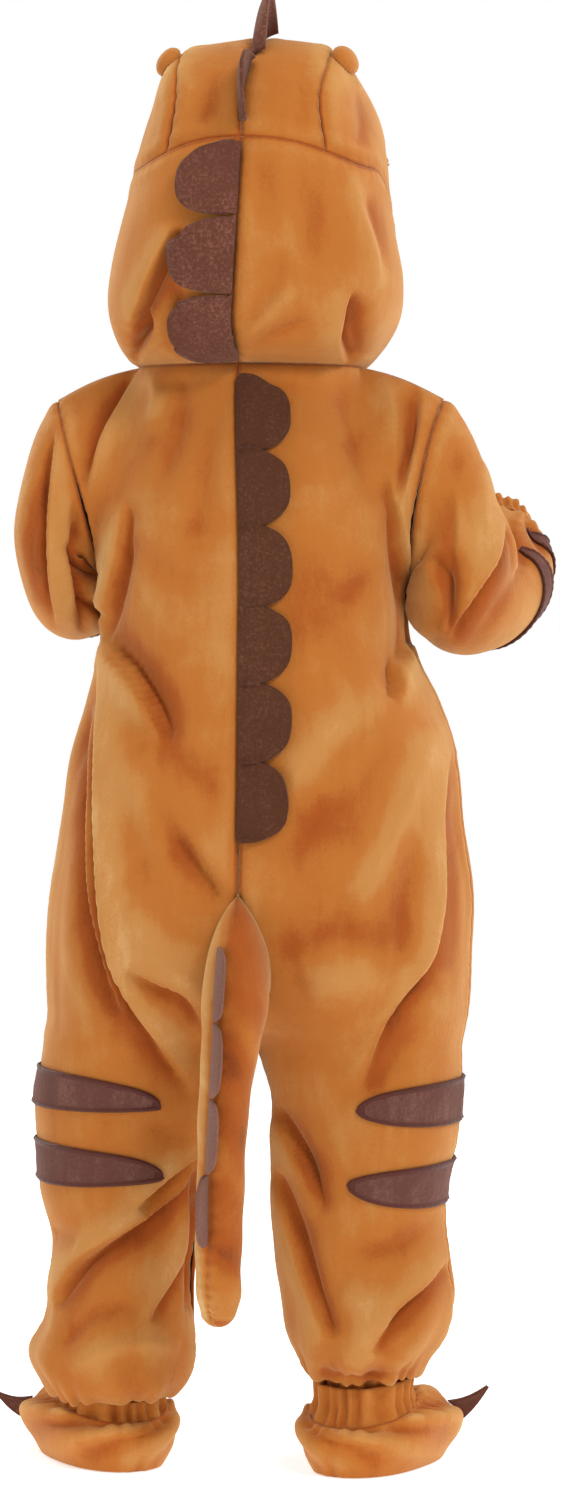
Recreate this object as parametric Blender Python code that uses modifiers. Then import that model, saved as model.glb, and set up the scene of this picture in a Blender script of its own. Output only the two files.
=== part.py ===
"""Child's dinosaur costume: a hooded plush all-in-one, as worn, with felt spikes, a stuffed tail,
striped sleeves and legs, and a pair of clawed booties.

Metres, +Z up. The front faces -Y and the wearer's left is +X. Heights in the tables are above the
floor. The origin is the middle of the neck at shoulder height, where the wearer carries the costume.

Each cut piece is a patch of one smooth surface, a function of two shares. A body panel reads
"across" from the centre seam or inseam (0) to the side seam (1), and "down" from the neck and
shoulder (-1) through the underarm (0) to the ankle (1).
"""

import math
from collections import namedtuple

import bmesh
import bpy
from mathutils import Vector

LEFT, RIGHT = 1, -1
BACK, FRONT = 1, -1
SIDE_NAMES = {LEFT: "left", RIGHT: "right"}
FACE_NAMES = {BACK: "back", FRONT: "front"}

# Driving dimensions of the wearer that the costume is cut for
WEARER_HEIGHT = 0.92
SHOULDER_HEIGHT = 0.79 * WEARER_HEIGHT

# Cloths and gaps
PLUSH = 0.0020
FELT = 0.0024
APPLIQUE = 0.0012
PLACKET_CLOTH = 0.0016
SEAM_GAP = 0.0003
HALF_GAP = SEAM_GAP / 2
LIFT = 0.0006
SPIKE_LIFT = 0.0010

# Colour and roughness of each cloth
CLOTHS = {
    "plush_tan": ((0.58, 0.25, 0.05, 1), 0.80),
    "plush_brown": ((0.13, 0.048, 0.028, 1), 0.78),
    "felt_brown": ((0.10, 0.045, 0.030, 1), 0.95),
    "button_brown": ((0.10, 0.045, 0.025, 1), 0.35),
}

# Body: sections through the torso, then through each leg down to its ankle

Torso = namedtuple("Torso", "height left right back front legness")
TORSO = [
    Torso(0.590, 0.104, 0.099, 0.094, 0.088, 0.00),
    Torso(0.548, 0.104, 0.098, 0.099, 0.095, 0.00),
    Torso(0.508, 0.1145, 0.117, 0.102, 0.101, 0.00),
    Torso(0.468, 0.125, 0.130, 0.105, 0.105, 0.00),
    Torso(0.424, 0.132, 0.1355, 0.109, 0.106, 0.00),
    Torso(0.380, 0.139, 0.141, 0.113, 0.104, 0.00),
    Torso(0.345, 0.141, 0.1395, 0.114, 0.101, 0.06),
    Torso(0.318, 0.1417, 0.1385, 0.112, 0.098, 0.20),
    Torso(0.300, 0.1413, 0.1367, 0.110, 0.095, 0.42),
    Torso(0.288, 0.143, 0.1345, 0.107, 0.092, 0.70),
    Torso(0.279, 0.1436, 0.1337, 0.104, 0.090, 0.93),
]
Leg = namedtuple("Leg", "height outer inner back front")
LEFT_LEG = [
    Leg(0.268, 0.1445, 0.003, 0.070, 0.066),
    Leg(0.246, 0.1480, 0.012, 0.068, 0.064),
    Leg(0.214, 0.1470, 0.022, 0.066, 0.062),
    Leg(0.182, 0.1460, 0.032, 0.064, 0.060),
    Leg(0.152, 0.1375, 0.040, 0.061, 0.058),
    Leg(0.124, 0.1400, 0.044, 0.059, 0.058),
    Leg(0.098, 0.1425, 0.044, 0.060, 0.060),
    Leg(0.075, 0.1525, 0.043, 0.060, 0.061),
    Leg(0.057, 0.1450, 0.047, 0.056, 0.058),
    Leg(0.047, 0.1380, 0.057, 0.045, 0.046),
    Leg(0.050, 0.1330, 0.064, 0.0355, 0.0355),
]
RIGHT_LEG = [
    Leg(0.268, 0.1340, 0.003, 0.070, 0.066),
    Leg(0.246, 0.1335, 0.009, 0.068, 0.064),
    Leg(0.218, 0.1300, 0.009, 0.066, 0.062),
    Leg(0.190, 0.1240, 0.009, 0.063, 0.060),
    Leg(0.164, 0.1235, 0.010, 0.060, 0.058),
    Leg(0.138, 0.1265, 0.012, 0.059, 0.057),
    Leg(0.114, 0.1290, 0.016, 0.060, 0.059),
    Leg(0.092, 0.1240, 0.020, 0.060, 0.060),
    Leg(0.076, 0.1145, 0.027, 0.055, 0.056),
    Leg(0.064, 0.1070, 0.034, 0.044, 0.045),
    Leg(0.067, 0.1020, 0.038, 0.0335, 0.0335),
]
LEGS = {LEFT: LEFT_LEG, RIGHT: RIGHT_LEG}
Section = namedtuple("Section", "height outer inner back front leg_back leg_front legness")
TORSO_SQUARENESS = 2.25
LEG_SQUARENESS = 2.1
CROTCH_Y = 0.004
ANKLE_GATHERS = 5
ANKLE_GATHER_DEPTH = 0.0022
INSTEP_RISE = {LEFT: 0.018, RIGHT: 0.008}

# Yoke: the neck edge, the shoulder line and how the cloth leaves and reaches them
NECK_HALF_WIDTH = 0.073
NECK_BACK, NECK_FRONT = 0.050, 0.052
NECK_BACK_HEIGHT, NECK_SIDE_HEIGHT, NECK_FRONT_HEIGHT = 0.7285, 0.7270, 0.7000
NECK_SHARE = 0.6
SHOULDER_TIP = (0.128, 0.706)
SHOULDER_BOW = 0.003
ARMHOLE_BOW = 0.14

# Sway of the upper body and hood, from the waist up in even steps
Sway = namedtuple("Sway", "shift")
SWAY_START, SWAY_STEP = 0.56, 0.0425
SWAY = [Sway(0), Sway(0.0005), Sway(0.0025), Sway(0.0055), Sway(0.0070), Sway(0.0025), Sway(-0.0010)]
SWAY += [Sway(-0.0030), Sway(-0.0040), Sway(-0.0045), Sway(-0.0045)]

# Largest folds of the body: a soft trough or ridge between two places on a panel
Fold = namedtuple("Fold", "side face across down to_across to_down depth width")
BODY_FOLDS = [
    Fold(LEFT, BACK, 0.70, 0.18, 0.80, 0.46, 0.0045, 0.012),
    Fold(LEFT, BACK, 0.80, 0.46, 0.48, 0.55, 0.0050, 0.012),
    Fold(LEFT, BACK, 0.88, 0.10, 0.95, 0.42, 0.0040, 0.010),
    Fold(LEFT, BACK, 0.62, 0.03, 0.85, 0.16, 0.0040, 0.012),
    Fold(LEFT, BACK, 0.30, 0.30, 0.05, 0.40, 0.0035, 0.012),
    Fold(LEFT, BACK, 0.90, 0.86, 0.35, 0.72, 0.0045, 0.010),
    Fold(LEFT, BACK, 0.40, 0.93, 0.22, 0.76, 0.0035, 0.008),
    Fold(RIGHT, BACK, 0.95, 0.20, 0.86, 0.40, 0.0045, 0.012),
    Fold(RIGHT, BACK, 0.86, 0.40, 0.55, 0.58, 0.0045, 0.012),
    Fold(RIGHT, BACK, 0.60, 0.14, 0.30, 0.34, -0.0030, 0.022),
    Fold(RIGHT, BACK, 0.20, 0.70, 0.42, 0.90, 0.0040, 0.010),
    Fold(RIGHT, BACK, 0.92, 0.80, 0.50, 0.92, 0.0040, 0.010),
    Fold(LEFT, FRONT, 0.80, 0.08, 0.55, 0.30, 0.0040, 0.012),
    Fold(LEFT, FRONT, 0.70, 0.44, 0.30, 0.54, 0.0045, 0.012),
    Fold(LEFT, FRONT, 0.85, 0.84, 0.40, 0.74, 0.0040, 0.010),
    Fold(RIGHT, FRONT, 0.82, 0.10, 0.60, 0.32, 0.0040, 0.012),
    Fold(RIGHT, FRONT, 0.66, 0.42, 0.28, 0.53, 0.0045, 0.012),
    Fold(RIGHT, FRONT, 0.30, 0.72, 0.60, 0.88, 0.0040, 0.010),
]
PANEL_GIRTH = 0.17
PANEL_LENGTH = 0.56
YOKE_ROWS, BODY_ROWS = 8, 21

# Sleeves: rings along each bent arm, with the elbow at the third or fourth row
Ring = namedtuple("Ring", "x y height outer back lean bend inward")
LEFT_SLEEVE = [
    Ring(0.1325, 0.001, 0.6125, 0.0375, 0.0400, 47, 0, 0),
    Ring(0.1350, 0.002, 0.5970, 0.0320, 0.0380, 31, 12, 0),
    Ring(0.1325, -0.012, 0.5830, 0.0290, 0.0360, 16, 45, 0),
    Ring(0.1300, -0.046, 0.5780, 0.0280, 0.0310, 6, 88, 8),
    Ring(0.1230, -0.074, 0.5850, 0.0275, 0.0300, 0, 98, 20),
    Ring(0.1120, -0.099, 0.5940, 0.0265, 0.0270, 0, 102, 28),
    Ring(0.1030, -0.117, 0.6010, 0.0225, 0.0225, 0, 104, 30),
]
RIGHT_SLEEVE = [
    Ring(0.1325, 0.001, 0.6125, 0.0375, 0.0400, 47, 0, 0),
    Ring(0.1390, 0.002, 0.5950, 0.0350, 0.0390, 30, 14, 0),
    Ring(0.1375, -0.012, 0.5780, 0.0345, 0.0390, 16, 45, -4),
    Ring(0.1440, -0.044, 0.5720, 0.0370, 0.0340, 12, 84, -8),
    Ring(0.1530, -0.072, 0.5850, 0.0360, 0.0330, 8, 102, -4),
    Ring(0.1545, -0.097, 0.6010, 0.0310, 0.0290, 4, 112, 4),
    Ring(0.1510, -0.114, 0.6140, 0.0240, 0.0240, 0, 116, 8),
]
SLEEVES = {LEFT: LEFT_SLEEVE, RIGHT: RIGHT_SLEEVE}
CAP_SHARE = 0.30
SLEEVE_TRIM = 0.004
CUFF_GATHERS = 12
CUFF_INSET, CUFF_WAVE = 0.0012, 0.0008
LEG_CUFF_LENGTH = {LEFT: 0.0136, RIGHT: 0.0215}
WRIST_CUFF_LENGTH = 0.014
ANKLE_RADIUS = 0.0284

# Hood: sections of the lower part from the neck up, then arches of the crown from its back seam forward
Level = namedtuple("Level", "back_height side_height edge_height width back front end")
HOOD = [
    Level(0.7285, 0.7270, 0.7000, 0.0730, 0.0500, 0.0520, 180),
    Level(0.7400, 0.7385, 0.7150, 0.0850, 0.0760, 0.0750, 166),
    Level(0.7680, 0.7640, 0.7380, 0.0950, 0.0950, 0.0920, 150),
    Level(0.8020, 0.7920, 0.7600, 0.0945, 0.1040, 0.1080, 136),
    Level(0.8380, 0.8240, 0.7820, 0.0890, 0.1030, 0.1160, 128),
    Level(0.8710, 0.8530, 0.8030, 0.0840, 0.0930, 0.1180, 126),
]
HOOD_SQUARENESS = 2.6
Arch = namedtuple("Arch", "width top_y top_height side_y side_height front_run drop end")
CROWN = [
    Arch(0.0840, 0.093, 0.871, 0.000, 0.838, 0.118, 0.050, 126),
    Arch(0.0815, 0.087, 0.909, -0.006, 0.856, 0.110, 0.044, 122),
    Arch(0.0775, 0.052, 0.936, -0.030, 0.864, 0.085, 0.030, 117),
    Arch(0.0735, -0.020, 0.939, -0.065, 0.868, 0.055, 0.018, 110),
    Arch(0.0690, -0.125, 0.905, -0.108, 0.866, 0.020, 0.006, 100),
]
CROWN_SQUARENESS = 2.1
CROWN_SPLIT = 1 / 3
BROW_OUT, BROW_FORWARD, BROW_HALF, BROW_RISE = 0.40, 0.47, 0.110, 0.0125
BrowRing = namedtuple("BrowRing", "share rise")
BROW = [BrowRing(0.5, 0.0), BrowRing(1.0, 0.0), BrowRing(1.0, 0.003), BrowRing(0.85, 0.0075)]
BROW += [BrowRing(0.5, 0.0105)]
HOOD_TRIM = 0.0012
CROWN_TRIM = 0.0010

# Tail: rings from the seat to the blunt tip, turning from facing back to hanging down
TailRing = namedtuple("TailRing", "x y height tilt deep wide")
TAIL = [
    TailRing(-0.0015, 0.1240, 0.332, 35, 0.0320, 0.0225),
    TailRing(0.0000, 0.1370, 0.310, 62, 0.0225, 0.0205),
    TailRing(0.0030, 0.1370, 0.283, 82, 0.0175, 0.0175),
    TailRing(0.0065, 0.1310, 0.249, 92, 0.0160, 0.0162),
    TailRing(0.0095, 0.1250, 0.214, 92, 0.0150, 0.0155),
    TailRing(0.0110, 0.1200, 0.182, 92, 0.0145, 0.0150),
    TailRing(0.0120, 0.1150, 0.152, 92, 0.0142, 0.0148),
    TailRing(0.0128, 0.1120, 0.130, 92, 0.0122, 0.0128),
    TailRing(0.0133, 0.1105, 0.117, 92, 0.0078, 0.0080),
]
TAIL_TIP = (0.0135, 0.1100, 0.1115)
TAIL_ROOT_HEIGHT = 0.348
TAIL_ROOT_HALF = (0.023, 0.040)
TAIL_SEAM_TURN, TAIL_LIFT, TAIL_SPIKE_LIFT = 34, 0.0021, 0.0009

# Spikes: half discs of felt along a seam, by the height of their two ends and how far they reach
Spike = namedtuple("Spike", "top bottom reach")
HOOD_SPIKES = [Spike(0.868, 0.822, 0.045), Spike(0.821, 0.776, 0.046), Spike(0.775, 0.736, 0.045)]
BACK_SPIKES = [
    Spike(0.7180, 0.6710, 0.036),
    Spike(0.6705, 0.6220, 0.034),
    Spike(0.6215, 0.5725, 0.036),
    Spike(0.5720, 0.5225, 0.037),
    Spike(0.5220, 0.4725, 0.038),
    Spike(0.4720, 0.4220, 0.036),
]
TAIL_SPIKES = [
    Spike(0.3560, 0.3110, 0.017),
    Spike(0.3090, 0.2620, 0.019),
    Spike(0.2600, 0.2130, 0.019),
    Spike(0.2110, 0.1640, 0.014),
]
SPIKE_SQUARENESS = 2.8
SPIKE_LEVELS = [0.5 - 0.5 * math.cos(math.pi * (index + 0.25) / 7.5) for index in range(8)]
Fin = namedtuple("Fin", "start end height sweep lean")
CROWN_FINS = [Fin(0.04, 0.32, 0.034, 0.10, -0.004), Fin(0.36, 0.64, 0.040, -0.15, -0.009)]
FIN_POINT, FIN_FULLNESS, FIN_FOOT = 1.15, 1.0, 0.004

# Stripes: a curved band round the outer side, by the heights of its outer end and of its tip
Stripe = namedtuple("Stripe", "side top bottom tip back_reach front_reach")
LEG_STRIPES = [
    Stripe(LEFT, 0.268, 0.244, 0.246, 0.40, 0.45),
    Stripe(LEFT, 0.220, 0.194, 0.202, 0.42, 0.45),
    Stripe(RIGHT, 0.260, 0.235, 0.244, 0.50, 0.45),
    Stripe(RIGHT, 0.206, 0.180, 0.198, 0.50, 0.45),
]
SleeveStripe = namedtuple("SleeveStripe", "along half_length start end")
SLEEVE_STRIPES = [SleeveStripe(0.72, 0.036, 0.24, 0.76), SleeveStripe(0.87, 0.036, 0.25, 0.75)]

# Booties: rings of the foot cover from the sole edge up to the collar seam, in the foot's own frame
FootRing = namedtuple("FootRing", "half_length half_width forward heel_height toe_height")
BOOTIE = [
    FootRing(0.0600, 0.0330, 0.020, 0.0045, 0.0045),
    FootRing(0.0670, 0.0420, 0.021, 0.012, 0.013),
    FootRing(0.0700, 0.0465, 0.021, 0.022, 0.030),
    FootRing(0.0630, 0.0450, 0.016, 0.030, 0.041),
    FootRing(0.0480, 0.0400, 0.006, 0.0325, 0.047),
    FootRing(0.0365, 0.0345, -0.002, 0.030, 0.049),
]
FOOT_SQUARENESS = 2.3
BOOTIE_POINTS = 20
Foot = namedtuple("Foot", "x y toe_out collar_top collar_radius")
FEET = {
    LEFT: Foot(0.0985, CROTCH_Y, 32, 0.0410, 0.0335),
    RIGHT: Foot(0.0700, CROTCH_Y, 22, 0.0500, 0.0312),
}
COLLAR_SEAM_RADIUS, COLLAR_LENGTH = 0.0350, 1.02
COLLAR_SEAM_HEEL, COLLAR_SEAM_TOE, COLLAR_TOE_RISE, COLLAR_LEAST = 0.0305, 0.0495, 0.008, 0.006
COLLAR_WAVE = 0.0010
COLLAR_GATHERS = 12
SOLE_THICKNESS, SOLE_INSET = 0.0041, 0.0008
CLAW_LENGTH, CLAW_LIFT, CLAW_CURVE = 0.026, 0.0018, 0.0022
CLAW_ROOT, CLAW_TIP_HEIGHT, CLAW_POINT = (0.0200, 0.0370), 0.0420, 0.08
CLAW_TURNS = (-38, 0, 38)

# Front closure
PLACKET_HALF_WIDTH = 0.012
PLACKET_LIFT = 0.0010
PLACKET_START, PLACKET_END = -0.97, 0.42
BUTTON_RADIUS, BUTTON_THICKNESS = 0.0075, 0.0026
BUTTON_HEIGHTS = (0.672, 0.602, 0.532, 0.462)


def between(a, b, share):
    return a + (b - a) * share


def ease(share):
    share = min(max(share, 0.0), 1.0)
    return share * share * (3 - 2 * share)


def signed_power(value, power):
    return math.copysign(abs(value) ** power, value)


def point(x, y, height):
    return Vector((x, y, height - SHOULDER_HEIGHT))


def sway(height):
    """How far the upper body leans to the wearer's left at the neck and the hood back to the right."""
    place = (height - SWAY_START) / SWAY_STEP
    if place <= 0.0:
        return 0.0
    return row_at(SWAY, place / (len(SWAY) - 1)).shift


def row_at(rows, share):
    """The table's values on a smooth curve through its rows, 0 at the first row and 1 at the last."""
    place = min(max(share, 0.0), 1.0) * (len(rows) - 1)
    index = min(int(place), len(rows) - 2)
    f = place - index
    before = rows[max(index - 1, 0)]
    after = rows[min(index + 2, len(rows) - 1)]
    values = []
    for a, b, c, d in zip(before, rows[index], rows[index + 1], after):
        bend = 2 * a - 5 * b + 4 * c - d + f * (3 * (b - c) + d - a)
        values.append(b + 0.5 * f * (c - a + f * bend))
    return type(rows[0])(*values)


def hermite(start, end, leaving, arriving, f):
    """A curve from start to end that leaves and arrives along the two given vectors."""
    return (
        start * (2 * f**3 - 3 * f**2 + 1)
        + leaving * (f**3 - 2 * f**2 + f)
        + end * (3 * f**2 - 2 * f**3)
        + arriving * (f**3 - f**2)
    )


def find(function, target, low, high):
    """Where a function that falls from low to high reaches the target."""
    for _ in range(30):
        middle = (low + high) / 2
        if function(middle) > target:
            low = middle
        else:
            high = middle
    return (low + high) / 2


# Surfaces


def body_table(side):
    leg = LEGS[side]
    rows = []
    for row in TORSO:
        outer = row.left if side == LEFT else row.right
        sizes = (outer, 0.0, row.back, row.front, leg[0].back, leg[0].front, row.legness)
        rows.append(Section(row.height, *sizes))
    for row in leg:
        rows.append(Section(row.height, row.outer, row.inner, row.back, row.front, row.back, row.front, 1.0))
    return rows


BODY = {LEFT: body_table(LEFT), RIGHT: body_table(RIGHT)}


def flat_body_point(side, face, across, down):
    """A point of the body below the underarm, before its folds."""
    row = row_at(BODY[side], down)
    legness = min(max(row.legness, 0.0), 1.0)
    torso_turn = math.pi / 2 * across
    torso_depth = row.back if face == BACK else row.front
    torso_x = row.outer * math.sin(torso_turn) ** (2 / TORSO_SQUARENESS)
    torso_y = torso_depth * max(math.cos(torso_turn), 0.0) ** (2 / TORSO_SQUARENESS)
    leg_turn = math.pi * across
    leg_depth = row.leg_back if face == BACK else row.leg_front
    wide = signed_power(-math.cos(leg_turn), 2 / LEG_SQUARENESS)
    leg_x = row.inner + (row.outer - row.inner) * (1 + wide) / 2
    leg_y = leg_depth * max(math.sin(leg_turn), 0.0) ** (2 / LEG_SQUARENESS)
    x = max(between(torso_x, leg_x, legness), HALF_GAP)
    y = face * max(between(torso_y, leg_y, legness), HALF_GAP)
    rise = instep_rise(side, y) * ease((down - 0.78) / 0.17)
    return point(side * x, y + CROTCH_Y * legness, row.height + rise)


def instep_rise(side, y):
    """How far a leg's hem climbs over the instep at its front."""
    return INSTEP_RISE[side] * ease((0.015 - y) / 0.05)


def neck_point(side, turn):
    """The neck edge, from the centre back (0) round the side to the centre front (1)."""
    angle = math.pi * turn
    depth = NECK_BACK if turn < 0.5 else NECK_FRONT
    if turn < 0.5:
        height = between(NECK_BACK_HEIGHT, NECK_SIDE_HEIGHT, turn * 2)
    else:
        height = between(NECK_SIDE_HEIGHT, NECK_FRONT_HEIGHT, ease(turn * 2 - 1))
    x = max(NECK_HALF_WIDTH * math.sin(angle), HALF_GAP)
    return point(side * x, depth * math.cos(angle), height)


def yoke_edge(side, face, across):
    """The top edge of a panel: the neck, then the shoulder seam."""
    if across < NECK_SHARE:
        turn = across / NECK_SHARE / 2
        edge = neck_point(side, turn if face == BACK else 1 - turn)
    else:
        share = (across - NECK_SHARE) / (1 - NECK_SHARE)
        edge = between(
            point(side * NECK_HALF_WIDTH, 0.0, NECK_SIDE_HEIGHT),
            point(side * SHOULDER_TIP[0], 0.0, SHOULDER_TIP[1]),
            share,
        )
        edge.z += SHOULDER_BOW * math.sin(math.pi * share)
    if abs(edge.y) < HALF_GAP:
        edge.y = face * HALF_GAP
    return edge


def yoke_point(side, face, across, up):
    start = flat_body_point(side, face, across, 0.0)
    end = yoke_edge(side, face, across)
    to_side = across**3
    leaving = Vector((0.0, face * ARMHOLE_BOW * to_side, between(0.12, 0.06, to_side)))
    reach = between(-0.05, -ARMHOLE_BOW, across**2)
    arriving = Vector((side * 0.02 * across**2, face * reach, between(0.07, 0.06, across)))
    return hermite(start, end, leaving, arriving, up)


def fold_depth(side, face, across, down):
    """How far the largest folds sink the cloth here."""
    depth = 0.0
    for fold in BODY_FOLDS:
        if fold.side != side or fold.face != face:
            continue
        start = Vector((fold.across * PANEL_GIRTH, fold.down * PANEL_LENGTH))
        run = Vector((fold.to_across * PANEL_GIRTH, fold.to_down * PANEL_LENGTH)) - start
        place = Vector((across * PANEL_GIRTH, down * PANEL_LENGTH)) - start
        along = min(max(place.dot(run) / run.length_squared, 0.0), 1.0)
        distance = (place - run * along).length
        fade = math.sin(math.pi * (0.12 + 0.76 * along))
        depth += fold.depth * fade * math.exp(-((distance / fold.width) ** 2))
    return depth * ease(across / 0.08) * ease((1 - across) / 0.06)


def body_point(side, face, across, down):
    if down < 0:
        return yoke_point(side, face, across, -down)
    surface = flat_body_point(side, face, across, down)
    sink = fold_depth(side, face, across, down)
    blouse = ease((down - 0.90) / 0.06) * ease((1 - down) / 0.02 + 0.25)
    sink += ANKLE_GATHER_DEPTH * blouse * math.cos(2 * math.pi * ANKLE_GATHERS * across)
    if sink:
        step = 0.004
        low, high = max(across - step, 0.0), min(across + step, 1.0)
        girth = flat_body_point(side, face, high, down) - flat_body_point(side, face, low, down)
        low, high = max(down - step, 0.0), min(down + step, 1.0)
        length = flat_body_point(side, face, across, high) - flat_body_point(side, face, across, low)
        surface -= girth.cross(length).normalized() * side * face * sink
    return surface


def armhole_point(side, turn):
    """The armhole edge, from the underarm (0) up the back to the shoulder (0.5) and down the front."""
    if turn < 0.5:
        return body_point(side, BACK, 1.0, -2 * turn)
    return body_point(side, FRONT, 1.0, -2 * (1 - turn))


def sleeve_point(side, turn, along):
    """The sleeve from its head (0) to the wrist (1). Turn 0 is inside, 0.25 back and 0.5 outside."""
    share = max(along - CAP_SHARE, 0.0) / (1 - CAP_SHARE)
    row = row_at(SLEEVES[side], share)
    lean, bend, inward = math.radians(row.lean), math.radians(row.bend), math.radians(row.inward)
    out = Vector((math.cos(lean) * math.cos(inward), -math.sin(inward), math.sin(lean)))
    back = Vector((math.sin(inward) * math.cos(bend), math.cos(bend), -math.sin(bend)))
    angle = 2 * math.pi * turn
    ring = point(row.x, row.y, row.height)
    ring += back * row.back * math.sin(angle) - out * row.outer * math.cos(angle)
    ring.x *= side
    if along >= CAP_SHARE:
        return ring
    head = armhole_point(side, turn)
    leaving = Vector((side * 0.050, 0.0, -0.030))
    arriving = Vector((side * 0.010, 0.0, -0.045))
    return hermite(head, ring, leaving, arriving, along / CAP_SHARE)


def hood_point(side, turn, up):
    """The lower hood from the neck (0) to the crown seam (1), turn 0 at the back and 1 at the face."""
    row = row_at(HOOD, up)
    power = 2 / between(2.0, HOOD_SQUARENESS, ease(up * 3))
    angle = math.radians(row.end) * turn
    depth = row.back if math.cos(angle) > 0 else row.front
    x = max(row.width * max(math.sin(angle), 0.0) ** power, HALF_GAP)
    y = depth * signed_power(math.cos(angle), power)
    if turn < 0.5:
        height = between(row.back_height, row.side_height, ease(turn * 2))
    else:
        height = between(row.side_height, row.edge_height, ease(turn * 2 - 1))
    surface = point(side * x, y, height)
    if up < 0.12:
        low = neck_point(side, turn) + Vector((0, 0, 2 * SEAM_GAP))
        surface = between(low, surface, ease(up / 0.12))
    return surface


def arch_point(side, out, forward):
    row = row_at(CROWN, forward)
    angle = math.radians(row.end) * out
    power = 2 / between(HOOD_SQUARENESS, CROWN_SQUARENESS, ease(forward * 4))
    rise = signed_power(math.cos(angle), power)
    x = max(row.width * math.sin(angle) ** power, HALF_GAP)
    if rise > 0:
        y = between(row.side_y, row.top_y, rise)
        height = between(row.side_height, row.top_height, rise)
    else:
        y = row.side_y + row.front_run * rise
        height = row.side_height + row.drop * rise
    return point(side * x, y, height)


def crown_point(side, out, forward):
    """The crown from its back seam (0) to the brim (1), out 0 at the centre and 1 at the face edge."""
    surface = arch_point(side, out, forward)
    fade = 1 - ease(forward / 0.3)
    if fade > 0:
        surface += (hood_point(side, out, 1.0) - arch_point(side, out, 0.0)) * fade
    if abs(surface.x) < HALF_GAP:
        surface.x = side * HALF_GAP
    return surface


def tail_root(turn, share):
    """The oval where the tail is sewn to the seat, moved out from the panels. Share 0 is its middle."""
    angle = 2 * math.pi * turn
    x = TAIL_ROOT_HALF[0] * share * math.sin(angle)
    height = TAIL_ROOT_HEIGHT + TAIL_ROOT_HALF[1] * share * math.cos(angle)
    side = LEFT if x >= 0 else RIGHT
    down = find(lambda d: row_at(BODY[side], d).height, height, 0.0, 0.6)
    across = find(lambda a: -abs(flat_body_point(side, BACK, a, down).x), -abs(x), 0.0, 0.9)
    return lifted(lambda a, d: body_point(side, BACK, a, d), across, down, side, TAIL_LIFT)


def tail_point(turn, along):
    """The tail's skin from its first ring (0) to its last (1). Turn 0 is the back, 0.25 the left."""
    row = row_at(TAIL, along)
    tilt = math.radians(row.tilt)
    outward = Vector((0.0, math.sin(tilt), math.cos(tilt)))
    angle = 2 * math.pi * turn
    centre = point(row.x, row.y, row.height)
    return centre + outward * row.deep * math.cos(angle) + Vector((row.wide * math.sin(angle), 0, 0))


def foot_place(side, forward, sideways, height):
    """A place in the foot's own frame, forward to the toe and sideways to the outer side."""
    foot = FEET[side]
    turn = math.radians(foot.toe_out)
    x = foot.x + forward * math.sin(turn) + sideways * math.cos(turn)
    y = foot.y - forward * math.cos(turn) + sideways * math.sin(turn)
    return point(side * x, y, height)


def bootie_point(side, turn, up):
    """The foot cover from the sole edge (0) to the collar seam (1). Turn 0 is the heel."""
    row = row_at(BOOTIE, up)
    angle = 2 * math.pi * turn
    power = 2 / between(FOOT_SQUARENESS, 2.0, up)
    forward = row.forward - row.half_length * signed_power(math.cos(angle), power)
    sideways = row.half_width * signed_power(math.sin(angle), power)
    toe = (forward - row.forward + row.half_length) / (2 * row.half_length)
    return foot_place(side, forward, sideways, between(row.heel_height, row.toe_height, toe))


def collar_point(side, turn, up):
    """The bootie's gathered collar, from its seam (0) to its top (1)."""
    foot = FEET[side]
    angle = 2 * math.pi * turn
    to_toe = (1 - math.cos(angle)) / 2
    wave = COLLAR_WAVE * math.cos(COLLAR_GATHERS * angle) * ease(up * 3)
    radius = between(COLLAR_SEAM_RADIUS, foot.collar_radius, ease(up * 2)) + wave
    top = foot.collar_top + COLLAR_TOE_RISE * to_toe
    seam = between(COLLAR_SEAM_HEEL, COLLAR_SEAM_TOE, to_toe) + SEAM_GAP
    forward = BOOTIE[-1].forward * (1 - up) - radius * COLLAR_LENGTH * math.cos(angle)
    height = between(seam, max(top, seam + COLLAR_LEAST), up)
    return foot_place(side, forward, radius * math.sin(angle), height)


def leg_cuff_point(side, turn, down):
    """The elastic cuff below the leg's gathers, turn 0 at the inseam and 0.25 at the back."""
    leg = LEGS[side][-1]
    centre = (leg.outer + leg.inner) / 2
    angle = 2 * math.pi * turn
    narrow = between(0.0, leg.back - ANKLE_RADIUS, ease(down * 2.4))
    wave = CUFF_WAVE * math.cos(CUFF_GATHERS * angle) * ease(down * 2)
    half_x = (leg.outer - leg.inner) / 2 - CUFF_INSET - narrow + wave
    half_y = leg.back - CUFF_INSET - narrow + wave
    y = half_y * math.sin(angle)
    height = leg.height + instep_rise(side, y) + between(LIFT, LIFT - LEG_CUFF_LENGTH[side], down)
    return point(side * (centre - half_x * math.cos(angle)), CROTCH_Y + y, height)


def sleeve_cuff_point(side, turn, along):
    """The elastic cuff at the wrist, carried on along the forearm."""
    end = sleeve_point(side, turn, 1.0)
    centre = (sleeve_point(side, 0.0, 1.0) + sleeve_point(side, 0.5, 1.0)) / 2
    before = (sleeve_point(side, 0.0, 0.94) + sleeve_point(side, 0.5, 0.94)) / 2
    forward = (centre - before).normalized()
    wave = CUFF_WAVE * math.cos(2 * math.pi * CUFF_GATHERS * turn) * ease(along * 2)
    radial = end - centre
    size = radial.length - CUFF_INSET * along + wave
    return centre + radial.normalized() * size + forward * (2 * SEAM_GAP + WRIST_CUFF_LENGTH * along)


# Making pieces


def outward(surface, u, v, facing):
    step = 0.004
    low_u, high_u = max(u - step, 0.0), u + step
    if high_u > 1.0:
        low_u, high_u = u - step, 1.0
    along_u = surface(high_u, v) - surface(low_u, v)
    low_v, high_v = v - step, v + step
    if v >= 0.0 > low_v:
        low_v = max(low_v, 0.0)
    if high_v > 1.0:
        high_v = 1.0
    along_v = surface(u, high_v) - surface(u, low_v)
    return (along_u.cross(along_v) * facing).normalized()


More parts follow.
